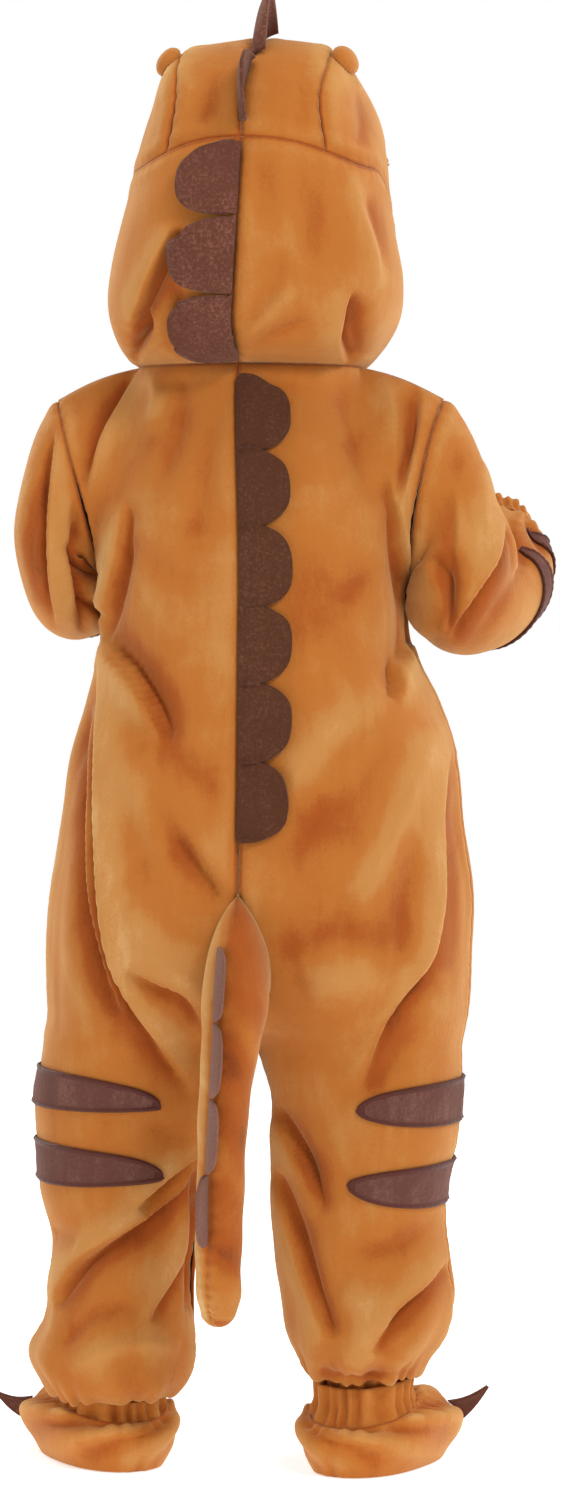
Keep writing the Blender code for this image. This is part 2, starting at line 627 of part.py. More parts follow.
def lifted(surface, u, v, facing, lift):
    """A point of a surface moved out of it."""
    return surface(u, v) + outward(surface, u, v, facing) * lift


def body_normal(side, face, across, down):
    """The way out of a panel, kept in the seam's plane where two panels meet edge to edge."""
    out = outward(lambda a, d: body_point(side, face, a, d), across, down, side * face)
    if across == 0.0 and abs(body_point(side, face, 0.0, down).x) < SEAM_GAP:
        out.x = 0.0
    elif across == 0.0 or (across == 1.0 and down >= 0.0) or (across >= NECK_SHARE and down == -1.0):
        out.y = 0.0
    return out.normalized()


def hood_normal(side, turn, up):
    if up > 0.99:
        return crown_seam_normal(side, turn)
    out = outward(lambda t, level: hood_point(side, t, level), turn, up, -side)
    if abs(hood_point(side, turn, up).x) < SEAM_GAP:
        out.x = 0.0
    return out.normalized()


def crown_normal(side, out, forward):
    if forward < 0.01:
        return crown_seam_normal(side, out)
    away = outward(lambda o, f: crown_point(side, o, f), out, forward, -side)
    if out == 0.0:
        away.x = 0.0
    return away.normalized()


def crown_seam_normal(side, turn):
    """The way out of the hood along the curved seam, shared by the pieces on both sides of it."""
    below = outward(lambda t, level: hood_point(side, t, level), turn, 0.98, -side)
    above = outward(lambda o, f: crown_point(side, o, f), turn, 0.02, -side)
    away = below + above
    if turn == 0.0:
        away.x = 0.0
    return away.normalized()


def material(name):
    """One Principled material for each cloth, shared by the pieces cut from it."""
    if name in bpy.data.materials:
        return bpy.data.materials[name]
    made = bpy.data.materials.new(name)
    made.use_nodes = True
    shader = made.node_tree.nodes["Principled BSDF"]
    colour, roughness = CLOTHS[name]
    shader.inputs["Base Color"].default_value = colour
    shader.inputs["Roughness"].default_value = roughness
    shader.inputs["Metallic"].default_value = 0.0
    made.diffuse_color = colour
    return made


def add_piece(name, vertices, faces, cloth):
    worn = [vertex + Vector((sway(vertex.z + SHOULDER_HEIGHT), 0, 0)) for vertex in vertices]
    mesh = bpy.data.meshes.new(name)
    mesh.from_pydata([tuple(vertex) for vertex in worn], [], faces)
    mesh.validate()
    mesh.materials.append(material(cloth))
    mesh.shade_smooth()
    piece = bpy.data.objects.new(name, mesh)
    costume.objects.link(piece)
    return piece


def add_wall(name, surface, us, vs, facing, cloth, thickness, closed=False, lift=0.0, normal=None):
    """A patch of a surface made into a wall: inwards from it, or outwards where it is lifted."""
    outer, inner = [], []
    for v in vs:
        for u in us:
            place = surface(u, v)
            out = normal(u, v) if normal else outward(surface, u, v, facing)
            outer.append(place + out * (lift + thickness if lift else 0.0))
            inner.append(place + out * (lift if lift else -thickness))
    rows, columns = len(vs), len(us)
    shift = rows * columns
    faces = []
    for row in range(rows - 1):
        for column in range(columns if closed else columns - 1):
            here = row * columns + column
            beside = row * columns + (column + 1) % columns
            faces.append([here, beside, beside + columns, here + columns])
            faces.append([here + columns + shift, beside + columns + shift, beside + shift, here + shift])
    for row, turned in ((0, False), (rows - 1, True)):
        for column in range(columns if closed else columns - 1):
            here = row * columns + column
            beside = row * columns + (column + 1) % columns
            rim = [here, here + shift, beside + shift, beside]
            faces.append(rim[::-1] if turned else rim)
    if not closed:
        for column, turned in ((0, True), (columns - 1, False)):
            for row in range(rows - 1):
                here = row * columns + column
                below = here + columns
                rim = [here, here + shift, below + shift, below]
                faces.append(rim[::-1] if turned else rim)
    if facing < 0:
        faces = [face[::-1] for face in faces]
    return add_piece(name, outer + inner, faces, cloth)


def add_plate(name, surface, us, vs):
    """A felt plate of even thickness about a surface."""
    columns = len(us)
    faces = []
    for row in range(len(vs) - 1):
        for column in range(columns - 1):
            here = row * columns + column
            faces.append([here, here + 1, here + columns + 1, here + columns])
    piece = add_piece(name, [surface(u, v) for v in vs for u in us], faces, "felt_brown")
    wall = piece.modifiers.new("wall", "SOLIDIFY")
    wall.thickness = FELT
    wall.offset = 0
    return piece


def add_loft(name, loops, start, end, facing, cloth):
    """A closed solid through loops of points, closed by a fan at each end."""
    count = len(loops[0])
    vertices = [vertex for loop in loops for vertex in loop] + [start, end]
    faces = []
    for row in range(len(loops) - 1):
        for column in range(count):
            following = (column + 1) % count
            base = row * count
            faces.append([base + column, base + following, base + count + following, base + count + column])
    last = (len(loops) - 1) * count
    for column in range(count):
        following = (column + 1) % count
        faces.append([len(vertices) - 2, following, column])
        faces.append([len(vertices) - 1, last + column, last + following])
    if facing < 0:
        faces = [face[::-1] for face in faces]
    return add_piece(name, vertices, faces, cloth)


def steps(start, end, count):
    return [between(start, end, index / count) for index in range(count + 1)]


def ring_turns(count):
    return [index / count for index in range(count)]


# Pieces of the all-in-one


def body_rows():
    return steps(-1, 0, YOKE_ROWS)[:-1] + steps(0, 1, BODY_ROWS)


def add_body():
    for side in (LEFT, RIGHT):
        for face in (BACK, FRONT):
            add_wall(
                f"{FACE_NAMES[face]}_{SIDE_NAMES[side]}",
                lambda across, down, s=side, f=face: body_point(s, f, across, down),
                steps(0, 1, 10),
                body_rows(),
                side * face,
                "plush_tan",
                PLUSH,
                normal=lambda across, down, s=side, f=face: body_normal(s, f, across, down),
            )


def add_sleeves():
    for side in (LEFT, RIGHT):
        def surface(turn, along, s=side):
            return sleeve_point(s, turn % 1.0, along)

        name = SIDE_NAMES[side]
        rings = [SLEEVE_TRIM] + steps(0, 1, 12)[1:]
        turns = ring_turns(2 * YOKE_ROWS)
        add_wall(f"sleeve_{name}", surface, turns, rings, side, "plush_tan", PLUSH, closed=True)
        cuff = lambda turn, along, s=side: sleeve_cuff_point(s, turn % 1.0, along)
        turns = ring_turns(CUFF_GATHERS * 2)
        add_wall(f"sleeve_cuff_{name}", cuff, turns, steps(0, 1, 2), side, "plush_tan", PLUSH, closed=True)
        for number, stripe in enumerate(SLEEVE_STRIPES, 1):
            def band(share, level, s=side, row=stripe):
                turn = between(row.start, row.end, share)
                half = row.half_length * math.sin(math.pi * between(0.06, 0.94, share)) ** 0.7
                return sleeve_point(s, turn, row.along + half * level)

            add_wall(
                f"sleeve_stripe_{name}_{number}",
                band,
                steps(0, 1, 10),
                steps(-1, 1, 2),
                side,
                "plush_brown",
                APPLIQUE,
                lift=SPIKE_LIFT,
            )


def add_leg_cuffs():
    for side in (LEFT, RIGHT):
        surface = lambda turn, down, s=side: leg_cuff_point(s, turn % 1.0, down)
        turns = ring_turns(CUFF_GATHERS * 2)
        name = f"leg_cuff_{SIDE_NAMES[side]}"
        add_wall(name, surface, turns, steps(0, 1, 2), side, "plush_tan", PLUSH, closed=True)


def add_hood():
    for side in (LEFT, RIGHT):
        name = SIDE_NAMES[side]
        lower = lambda turn, up, s=side: hood_point(s, turn, up)
        levels = steps(0, 1 - HOOD_TRIM, 8)
        out = lambda turn, up, s=side: hood_normal(s, turn, up)
        add_wall(f"hood_back_{name}", lower, steps(0, 1, 12), levels, -side, "plush_tan", PLUSH, normal=out)
        crown = lambda out, forward, s=side: crown_point(s, out, forward)
        forwards = steps(CROWN_TRIM, 1, 11)
        inner = steps(0, CROWN_SPLIT, 4)[:-1] + [CROWN_SPLIT - CROWN_TRIM]
        outer = [CROWN_SPLIT + CROWN_TRIM] + steps(CROWN_SPLIT, 1, 8)[1:]
        out = lambda o, f, s=side: crown_normal(s, o, f)
        add_wall(f"crown_centre_{name}", crown, inner, forwards, -side, "plush_tan", PLUSH, normal=out)
        add_wall(f"crown_side_{name}", crown, outer, forwards, -side, "plush_tan", PLUSH, normal=out)


def add_seam_spike(name, surface, facing, spike):
    """A half disc of felt caught in a seam at across 0, lying on the cloth beside it."""
    def place(share, along):
        level = level_at(surface, between(spike.top, spike.bottom, along))
        width = spike.reach * (1 - abs(2 * along - 1) ** SPIKE_SQUARENESS) ** (1 / SPIKE_SQUARENESS)
        return reach_across(surface, level, width * share + HALF_GAP), level

    def out(share, along):
        return outward(surface, *place(share, along), facing)

    def leaf(share, along):
        return surface(*place(share, along))

    shares = steps(0, 1, 3)
    add_wall(name, leaf, shares, SPIKE_LEVELS, facing, "felt_brown", FELT, lift=SPIKE_LIFT, normal=out)


def reach_across(surface, level, distance):
    """The share across a surface that lies the given distance from its centre seam."""
    across, walked = 0.0, 0.0
    here = surface(0.0, level)
    while walked < distance:
        ahead = surface(across + 0.01, level)
        stride = (ahead - here).length
        if walked + stride >= distance:
            return across + 0.01 * (distance - walked) / stride
        across += 0.01
        walked += stride
        here = ahead
    return across


def level_at(surface, height):
    """The share down a surface at which its centre seam has the given height."""
    return find(lambda level: surface(0.0, level).z + SHOULDER_HEIGHT, height, -1.0, 1.0)


def add_spikes():
    back = lambda across, down: body_point(RIGHT, BACK, across, down)
    for number, spike in enumerate(BACK_SPIKES, 1):
        add_seam_spike(f"spike_back_{number}", back, RIGHT, spike)
    hood = lambda turn, down: hood_point(LEFT, turn, min((1 - down) / 2, 1.0))
    for number, spike in enumerate(HOOD_SPIKES, 1):
        add_seam_spike(f"spike_hood_{number}", hood, LEFT, spike)


def add_fins():
    """Two pointed plates of felt that stand in the crown's centre seam."""
    for number, fin in enumerate(CROWN_FINS, 1):
        def plate(share, up, row=fin):
            forward = between(row.start, row.end, share)
            foot = crown_point(LEFT, 0.0, forward)
            rise = outward(lambda o, f: crown_point(LEFT, o, f), 0.0, forward, -LEFT)
            rise = Vector((0.0, rise.y + row.sweep, rise.z)).normalized()
            tall = row.height * (1 - abs(2 * share - 1) ** FIN_POINT) ** FIN_FULLNESS + FIN_FOOT
            lean = row.lean * up**2
            return Vector((lean, foot.y, foot.z)) + rise * (2 * LIFT + tall * up)

        add_plate(f"spike_crown_{number}", plate, steps(0, 1, 10), steps(0, 1, 4))


def add_mounds():
    """A stuffed brow on each side of the crown, beside its side seam."""
    for side in (LEFT, RIGHT):
        crown = lambda out, forward, s=side: crown_point(s, out, forward)

        def ring(share, rise, s=side, surface=crown):
            loop = []
            for turn in ring_turns(14):
                angle = 2 * math.pi * turn
                out = BROW_OUT + BROW_HALF * share * math.cos(angle)
                forward = BROW_FORWARD + BROW_HALF * share * math.sin(angle)
                loop.append(lifted(surface, out, forward, -s, LIFT * 1.5 + rise))
            return loop

        loops = [ring(row.share, row.rise) for row in BROW]
        start = lifted(crown, BROW_OUT, BROW_FORWARD, -side, LIFT * 1.5)
        end = lifted(crown, BROW_OUT, BROW_FORWARD, -side, BROW_RISE)
        add_loft(f"brow_{SIDE_NAMES[side]}", loops, start, end, -side, "plush_tan")


def add_tail():
    count = 16
    loops = [[tail_root(turn, share) for turn in ring_turns(count)] for share in (0.5, 1.0)]
    for along in steps(0, 1, 14):
        loops.append([tail_point(turn, along) for turn in ring_turns(count)])
    add_loft("tail", loops, tail_root(0.0, 0.0), point(*TAIL_TIP), 1, "plush_tan")
    for number, spike in enumerate(TAIL_SPIKES, 1):
        seam = TAIL_SEAM_TURN / 360
        top, bottom = [
            find(lambda a: tail_point(seam, a).z + SHOULDER_HEIGHT, height, 0.0, 1.0)
            for height in (spike.top, spike.bottom)
        ]
        lean = Vector((-0.30, 0.95, 0.0)) if number < len(TAIL_SPIKES) else Vector((0.30, 0.95, 0.0))
        skin = lambda turn, along: tail_point(turn, along)

        def leaf(share, along, row=spike, high=top, low=bottom, way=lean):
            level = between(high, low, along)
            tall = row.reach * (1 - abs(2 * along - 1) ** SPIKE_SQUARENESS) ** (1 / SPIKE_SQUARENESS)
            normal = outward(skin, seam, level, 1)
            straight = between(normal, way, 0.5 + 0.5 * share).normalized()
            return skin(seam, level) + normal * TAIL_SPIKE_LIFT + straight * tall * share

        add_plate(f"spike_tail_{number}", leaf, steps(0, 1, 2), SPIKE_LEVELS)


def add_leg_stripes():
    counts = {LEFT: 0, RIGHT: 0}
    for stripe in LEG_STRIPES:
        side = stripe.side
        counts[side] += 1

        def surface(share, level, row=stripe):
            back_run, front_run = 1 - row.back_reach, 1 - row.front_reach
            around = between(-back_run, front_run, share)
            face = BACK if around < 0 else FRONT
            run = back_run if around < 0 else front_run
            out = 1 - abs(around) / run
            widen = ease(out * 1.15) ** 0.5
            top = between(row.tip + 0.001, row.top, widen)
            bottom = between(row.tip - 0.001, row.bottom, widen)
            height = between(top, bottom, level)
            down = find(lambda d: row_at(BODY[row.side], d).height, height, 0.4, 0.85)
            return body_point(row.side, face, 1 - abs(around), down)

        add_wall(
            f"leg_stripe_{SIDE_NAMES[side]}_{counts[side]}",
            surface,
            steps(0, 1, 14),
            steps(0, 1, 2),
            side,
            "plush_brown",
            APPLIQUE,
            lift=SPIKE_LIFT,
        )


def add_booties():
    for side in (LEFT, RIGHT):
        name = SIDE_NAMES[side]
        upper = lambda turn, up, s=side: bootie_point(s, turn % 1.0, up)
        turns = ring_turns(BOOTIE_POINTS)
        add_wall(f"bootie_{name}", upper, turns, steps(0, 1, 7), -side, "plush_tan", PLUSH, closed=True)
        collar = lambda turn, up, s=side: collar_point(s, turn % 1.0, up)
        turns, ups = ring_turns(COLLAR_GATHERS * 2), steps(0, 1, 3)
        add_wall(f"bootie_collar_{name}", collar, turns, ups, -side, "plush_tan", PLUSH, closed=True)
        add_sole(side)
        for number, turn in enumerate(CLAW_TURNS, 1):
            add_claw(side, number, turn)


def add_sole(side):
    """A flat sole inside the sole seam."""
    outline = []
    middle = foot_place(side, BOOTIE[0].forward, 0.0, 0.0)
    for turn in ring_turns(BOOTIE_POINTS):
        edge = bootie_point(side, turn, 0.0)
        inward = middle - edge
        inward.z = 0.0
        outline.append(edge + inward.normalized() * SOLE_INSET)
    low = [Vector((edge.x, edge.y, -SHOULDER_HEIGHT)) for edge in outline]
    high = [Vector((edge.x, edge.y, SOLE_THICKNESS - SHOULDER_HEIGHT)) for edge in outline]
    end = foot_place(side, BOOTIE[0].forward, 0.0, SOLE_THICKNESS)
    add_loft(f"bootie_sole_{SIDE_NAMES[side]}", [low, high], middle, end, -side, "plush_tan")


def add_claw(side, number, turn):
    """A flat felt claw set on edge into the toe: broad at its root and tapering up to a point."""
    upper = lambda around, up: bootie_point(side, around, up)
    around = 0.5 - turn / 360
    levels = [
        find(lambda up: -upper(around, up).z, SHOULDER_HEIGHT - height, 0.0, 1.0)
        for height in steps(CLAW_ROOT[0], CLAW_ROOT[1], 2)
    ]
    root = [lifted(upper, around, up, -side, CLAW_LIFT) for up in levels]
    away = foot_place(side, math.cos(math.radians(turn)), math.sin(math.radians(turn)), 0.0)
    away -= foot_place(side, 0.0, 0.0, 0.0)
    tip = root[1] + away * CLAW_LENGTH
    tip.z = CLAW_TIP_HEIGHT - SHOULDER_HEIGHT
    vertices = []
    for share in steps(0, 1, 5):
        droop = Vector((0, 0, -CLAW_CURVE * math.sin(math.pi * share)))
        for base in root:
            end = tip + (base - root[1]) * CLAW_POINT
            vertices.append(between(base, end, share) + droop)
    faces = []
    for step in range(5):
        for column in range(2):
            corner = step * 3 + column
            faces.append([corner, corner + 1, corner + 4, corner + 3])
    piece = add_piece(f"claw_{SIDE_NAMES[side]}_{number}", vertices, faces, "felt_brown")
    wall = piece.modifiers.new("wall", "SOLIDIFY")
    wall.thickness = FELT
    wall.offset = 0


def add_closure():
    """The front placket, laid over the centre seam, and its buttons."""
    end = find(lambda d: row_at(BODY[LEFT], d).height, PLACKET_END, 0.0, 0.5)

    def strip(share, down):
        distance = between(-PLACKET_HALF_WIDTH, PLACKET_HALF_WIDTH, share)
        side = LEFT if distance >= 0 else RIGHT
        surface = lambda across, d: body_point(side, FRONT, across, d)
        across = reach_across(surface, down, abs(distance))
        return lifted(surface, across, down, -side, PLACKET_LIFT)

    rows = [PLACKET_START] + [down for down in body_rows() if PLACKET_START < down < end]
    vertices = [strip(share, down) for down in rows for share in steps(0, 1, 2)]
    faces = []
    for row in range(len(rows) - 1):
        for column in range(2):
            base = row * 3 + column
            faces.append([base, base + 3, base + 4, base + 1])
    placket = add_piece("placket", vertices, faces, "plush_tan")
    wall = placket.modifiers.new("wall", "SOLIDIFY")
    wall.thickness = PLACKET_CLOTH
    wall.offset = 1
    for number, height in enumerate(BUTTON_HEIGHTS, 1):
        centre = lambda across, d: body_point(LEFT, FRONT, across, d)
        down = find(lambda d: centre(0.0, d).z + SHOULDER_HEIGHT, height, -1.0, 0.5)
        out = outward(centre, 0.002, down, -1)
        seat = centre(0.0, down) + out * (PLACKET_LIFT + PLACKET_CLOTH + 2 * SEAM_GAP + BUTTON_THICKNESS / 2)
        seat.x = sway(seat.z + SHOULDER_HEIGHT)
        bpy.ops.mesh.primitive_cylinder_add(vertices=16, radius=BUTTON_RADIUS, depth=BUTTON_THICKNESS)
        button = bpy.context.object
        button.name = f"button_{number}"
        button.location = seat
        button.rotation_euler = Vector((0.0, out.y, out.z)).to_track_quat("Z", "Y").to_euler()
        edge = button.modifiers.new("rounded edge", "BEVEL")
        edge.width = 0.0008
        edge.segments = 1
        button.data.materials.append(material("button_brown"))
        for owner in list(button.users_collection):
            owner.objects.unlink(button)
        costume.objects.link(button)


for thing in list(bpy.data.objects):
    bpy.data.objects.remove(thing, do_unlink=True)
costume = bpy.data.collections.new("dinosaur_costume")
bpy.context.scene.collection.children.link(costume)

add_body()
add_sleeves()
add_leg_cuffs()
add_hood()
add_spikes()
add_fins()
add_mounds()
add_tail()
add_leg_stripes()
add_booties()
add_closure()
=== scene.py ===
"""Looks of the child's dinosaur costume: fine cloth, felt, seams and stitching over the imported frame.

Metres, +Z up. The front faces -Y and the wearer's left is +X. Each cut piece is a patch of a smooth
surface, a function of two shares, with the folds, gathers and seams worked into it afterwards.
"""

import math
from collections import namedtuple
from functools import partial

import bpy
import numpy as np
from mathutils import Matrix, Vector


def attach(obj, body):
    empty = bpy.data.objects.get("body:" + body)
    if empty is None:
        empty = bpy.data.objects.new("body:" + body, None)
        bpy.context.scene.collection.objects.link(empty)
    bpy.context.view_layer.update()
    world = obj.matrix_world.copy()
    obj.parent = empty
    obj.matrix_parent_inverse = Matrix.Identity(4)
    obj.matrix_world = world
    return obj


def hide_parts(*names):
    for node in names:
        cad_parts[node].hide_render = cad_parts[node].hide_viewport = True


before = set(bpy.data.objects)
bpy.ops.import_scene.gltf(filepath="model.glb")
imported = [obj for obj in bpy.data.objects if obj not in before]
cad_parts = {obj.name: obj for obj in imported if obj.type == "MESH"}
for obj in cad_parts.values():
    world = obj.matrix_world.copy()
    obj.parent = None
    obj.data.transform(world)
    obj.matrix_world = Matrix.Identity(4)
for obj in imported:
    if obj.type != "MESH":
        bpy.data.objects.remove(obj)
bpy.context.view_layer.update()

scene = bpy.context.scene

LEFT, RIGHT = 1, -1
BACK, FRONT = 1, -1
SIDE_NAMES = {LEFT: "left", RIGHT: "right"}
FACE_NAMES = {BACK: "back", FRONT: "front"}
FULL_TURN = 2 * math.pi
SHOULDER_HEIGHT = 0.7268
FLOOR, FLOOR_GAP, FLOOR_RADIUS = -SHOULDER_HEIGHT, 0.0002, 2.2

# Cloths
PLUSH, FELT, APPLIQUE = 0.0020, 0.0022, 0.0012
HALF_GAP = 0.00002
LIFT = 0.0010

# The photograph's camera: behind the wearer, a little to their right
PHOTO_WIDTH, PHOTO_HEIGHT = 561, 1500
CAMERA_TURN, CAMERA_DISTANCE = math.radians(187), 3.2
CAMERA_HEIGHT, AIM_HEIGHT, CAMERA_SHIFT = 0.62, 0.475, 0.0135
LENS, SENSOR = 116.4, 36.0

# Body: sections through the torso, then through each leg down to its ankle
Torso = namedtuple("Torso", "height left right back front legness")
TORSO = [
    Torso(0.590, 0.104, 0.099, 0.094, 0.088, 0.00),
    Torso(0.548, 0.104, 0.098, 0.099, 0.095, 0.00),
    Torso(0.508, 0.1145, 0.117, 0.102, 0.101, 0.00),
    Torso(0.468, 0.125, 0.130, 0.105, 0.105, 0.00),
    Torso(0.424, 0.132, 0.1355, 0.109, 0.106, 0.00),
    Torso(0.380, 0.139, 0.141, 0.113, 0.104, 0.00),
    Torso(0.345, 0.141, 0.1395, 0.114, 0.101, 0.06),
    Torso(0.318, 0.1417, 0.1385, 0.112, 0.098, 0.20),
    Torso(0.300, 0.1413, 0.1367, 0.110, 0.095, 0.42),
    Torso(0.288, 0.143, 0.1345, 0.107, 0.092, 0.70),
    Torso(0.279, 0.1436, 0.1337, 0.104, 0.090, 0.93),
]
Leg = namedtuple("Leg", "height outer inner back front")
LEFT_LEG = [
    Leg(0.268, 0.1445, 0.003, 0.070, 0.066),
    Leg(0.246, 0.1480, 0.012, 0.068, 0.064),
    Leg(0.214, 0.1470, 0.022, 0.066, 0.062),
    Leg(0.182, 0.1460, 0.032, 0.064, 0.060),
    Leg(0.152, 0.1375, 0.040, 0.061, 0.058),
    Leg(0.124, 0.1400, 0.044, 0.059, 0.058),
    Leg(0.098, 0.1425, 0.044, 0.060, 0.060),
    Leg(0.075, 0.1525, 0.043, 0.060, 0.061),
    Leg(0.057, 0.1450, 0.047, 0.056, 0.058),
    Leg(0.047, 0.1380, 0.057, 0.045, 0.046),
    Leg(0.050, 0.1330, 0.064, 0.0355, 0.0355),
]
RIGHT_LEG = [
    Leg(0.268, 0.1340, 0.003, 0.070, 0.066),
    Leg(0.246, 0.1335, 0.009, 0.068, 0.064),
    Leg(0.218, 0.1300, 0.009, 0.066, 0.062),
    Leg(0.190, 0.1240, 0.009, 0.063, 0.060),
    Leg(0.164, 0.1235, 0.010, 0.060, 0.058),
    Leg(0.138, 0.1265, 0.012, 0.059, 0.057),
    Leg(0.114, 0.1290, 0.016, 0.060, 0.059),
    Leg(0.092, 0.1240, 0.020, 0.060, 0.060),
    Leg(0.076, 0.1145, 0.027, 0.055, 0.056),
    Leg(0.064, 0.1070, 0.034, 0.044, 0.045),
    Leg(0.067, 0.1020, 0.038, 0.0335, 0.0335),
]
LEGS = {LEFT: LEFT_LEG, RIGHT: RIGHT_LEG}
Section = namedtuple("Section", "height outer inner back front leg_back leg_front legness")
TORSO_SQUARENESS, LEG_SQUARENESS = 2.25, 2.1
CROTCH_Y = 0.004
INSTEP_RISE = {LEFT: 0.018, RIGHT: 0.008}
INSTEP_START, INSTEP_RUN, INSTEP_PLACE, INSTEP_DEPTH = 0.78, 0.17, 0.015, 0.05

# Yoke: the neck edge and the shoulder line
NECK_HALF_WIDTH, NECK_BACK, NECK_FRONT = 0.073, 0.050, 0.052
NECK_BACK_HEIGHT, NECK_SIDE_HEIGHT, NECK_FRONT_HEIGHT = 0.7285, 0.7270, 0.7000
NECK_SHARE = 0.6
SHOULDER_TIP, SHOULDER_BOW, ARMHOLE_BOW = (0.128, 0.706), 0.003, 0.14
YOKE_RISE_MIDDLE, YOKE_RISE_SIDE, YOKE_NECK_RUN, YOKE_SIDE_RUN, YOKE_DIP = 0.12, 0.06, 0.07, 0.02, -0.05

# Sway of the upper body and hood, from the waist up in even steps
Sway = namedtuple("Sway", "shift")
SWAY_START, SWAY_STEP = 0.56, 0.0425
SWAY_SHIFTS = (0, 0.0005, 0.0025, 0.0055, 0.0070, 0.0025, -0.0010, -0.0030, -0.0040, -0.0045, -0.0045)
SWAY = [Sway(shift) for shift in SWAY_SHIFTS]

# Sleeves: rings along each bent arm
Ring = namedtuple("Ring", "x y height outer back lean bend inward")
LEFT_SLEEVE = [
    Ring(0.1325, 0.001, 0.6125, 0.0375, 0.0400, 47, 0, 0),
    Ring(0.1350, 0.002, 0.5970, 0.0320, 0.0380, 31, 12, 0),
    Ring(0.1325, -0.012, 0.5830, 0.0290, 0.0360, 16, 45, 0),
    Ring(0.1300, -0.046, 0.5780, 0.0280, 0.0310, 6, 88, 8),
    Ring(0.1230, -0.074, 0.5850, 0.0275, 0.0300, 0, 98, 20),
    Ring(0.1120, -0.099, 0.5940, 0.0265, 0.0270, 0, 102, 28),
    Ring(0.1030, -0.117, 0.6010, 0.0225, 0.0225, 0, 104, 30),
]
RIGHT_SLEEVE = [
    Ring(0.1325, 0.001, 0.6125, 0.0375, 0.0400, 47, 0, 0),
    Ring(0.1390, 0.002, 0.5950, 0.0350, 0.0390, 30, 14, 0),
    Ring(0.1375, -0.012, 0.5780, 0.0345, 0.0390, 16, 45, -4),
    Ring(0.1440, -0.044, 0.5720, 0.0370, 0.0340, 12, 84, -8),
    Ring(0.1530, -0.072, 0.5850, 0.0360, 0.0330, 8, 102, -4),
    Ring(0.1545, -0.097, 0.6010, 0.0310, 0.0290, 4, 112, 4),
    Ring(0.1510, -0.114, 0.6140, 0.0240, 0.0240, 0, 116, 8),
]
SLEEVES = {LEFT: LEFT_SLEEVE, RIGHT: RIGHT_SLEEVE}
CAP_SHARE, CAP_LEAVING, CAP_ARRIVING = 0.30, (0.050, -0.030), (0.010, -0.045)
CUFF_GATHERS = 12
CUFF_INSET, CUFF_WAVE = 0.0012, 0.0008
LEG_CUFF_LENGTH = {LEFT: 0.0136, RIGHT: 0.0215}
WRIST_CUFF_LENGTH, ANKLE_RADIUS = 0.014, 0.0284

# Hood: sections of the lower part from the neck up, then arches of the crown from its back seam forward
Level = namedtuple("Level", "back_height side_height edge_height width back front end")
HOOD = [
    Level(0.7285, 0.7270, 0.7000, 0.0730, 0.0500, 0.0520, 180),
    Level(0.7400, 0.7385, 0.7150, 0.0850, 0.0760, 0.0750, 166),
    Level(0.7680, 0.7640, 0.7380, 0.0950, 0.0950, 0.0920, 150),
    Level(0.8020, 0.7920, 0.7600, 0.0945, 0.1040, 0.1080, 136),
    Level(0.8380, 0.8240, 0.7820, 0.0890, 0.1030, 0.1160, 128),
    Level(0.8710, 0.8530, 0.8030, 0.0840, 0.0930, 0.1180, 126),
]
HOOD_SQUARENESS, HOOD_NECK_RUN = 2.6, 0.12
SeamShift = namedtuple("SeamShift", "shift half_width depth low_run high_end high_run")
HOOD_SEAM = SeamShift(0.0042, 0.055, 0.05, 0.03, 0.895, 0.05)
Arch = namedtuple("Arch", "width top_y top_height side_y side_height front_run drop end")
CROWN = [
    Arch(0.0840, 0.093, 0.871, 0.000, 0.838, 0.118, 0.050, 126),
    Arch(0.0815, 0.087, 0.909, -0.006, 0.856, 0.110, 0.044, 122),
    Arch(0.0775, 0.052, 0.936, -0.030, 0.864, 0.085, 0.030, 117),
    Arch(0.0735, -0.020, 0.939, -0.065, 0.868, 0.055, 0.018, 110),
    Arch(0.0690, -0.125, 0.905, -0.108, 0.866, 0.020, 0.006, 100),
]
CROWN_SQUARENESS = 2.1
CROWN_SPLIT, CROWN_SEAM_BACK, CROWN_FADE = 1 / 3, 0.250, 0.3
BROW_OUT, BROW_FORWARD, BROW_HALF, BROW_RISE = 0.385, 0.46, 0.050, 0.0070
BROW_LENGTHENED, BROW_ROUND, BROW_LIFT, BROW_SEAT, BROW_PUCKERS = 1.3, 2.4, 0.0004, 0.0002, 22

# Tail
TailRing = namedtuple("TailRing", "x y height tilt deep wide")
TAIL = [
    TailRing(-0.0015, 0.1240, 0.332, 35, 0.0320, 0.0225),
    TailRing(0.0000, 0.1370, 0.310, 62, 0.0225, 0.0205),
    TailRing(0.0030, 0.1370, 0.283, 82, 0.0175, 0.0175),
    TailRing(0.0065, 0.1310, 0.249, 92, 0.0160, 0.0162),
    TailRing(0.0095, 0.1250, 0.214, 92, 0.0150, 0.0155),
    TailRing(0.0110, 0.1200, 0.182, 92, 0.0145, 0.0150),
    TailRing(0.0120, 0.1150, 0.152, 92, 0.0142, 0.0148),
    TailRing(0.0128, 0.1120, 0.130, 92, 0.0122, 0.0128),
    TailRing(0.0133, 0.1105, 0.117, 92, 0.0078, 0.0080),
]
TAIL_TIP = (0.0135, 0.1100, 0.1115)
TAIL_ROOT_HEIGHT, TAIL_ROOT_HALF = 0.348, (0.023, 0.040)
TAIL_SEAM_TURN, TAIL_LIFT, TAIL_CLEAR = 26 / 360, 0.0016, 15
TAIL_END = ((0.15, 0.0016), (0.4, 0.0031), (0.7, 0.0033))
TAIL_TIP_DROP, TAIL_ROUND, TAIL_BLEND, TAIL_SHADED = 0.0022, 0.095, 14, 12
TAIL_SPIKE_ROOT, TAIL_SPIKE_LEAN, TAIL_SPIKE_LAST_LEAN = 0.0003, -0.42, 0.30

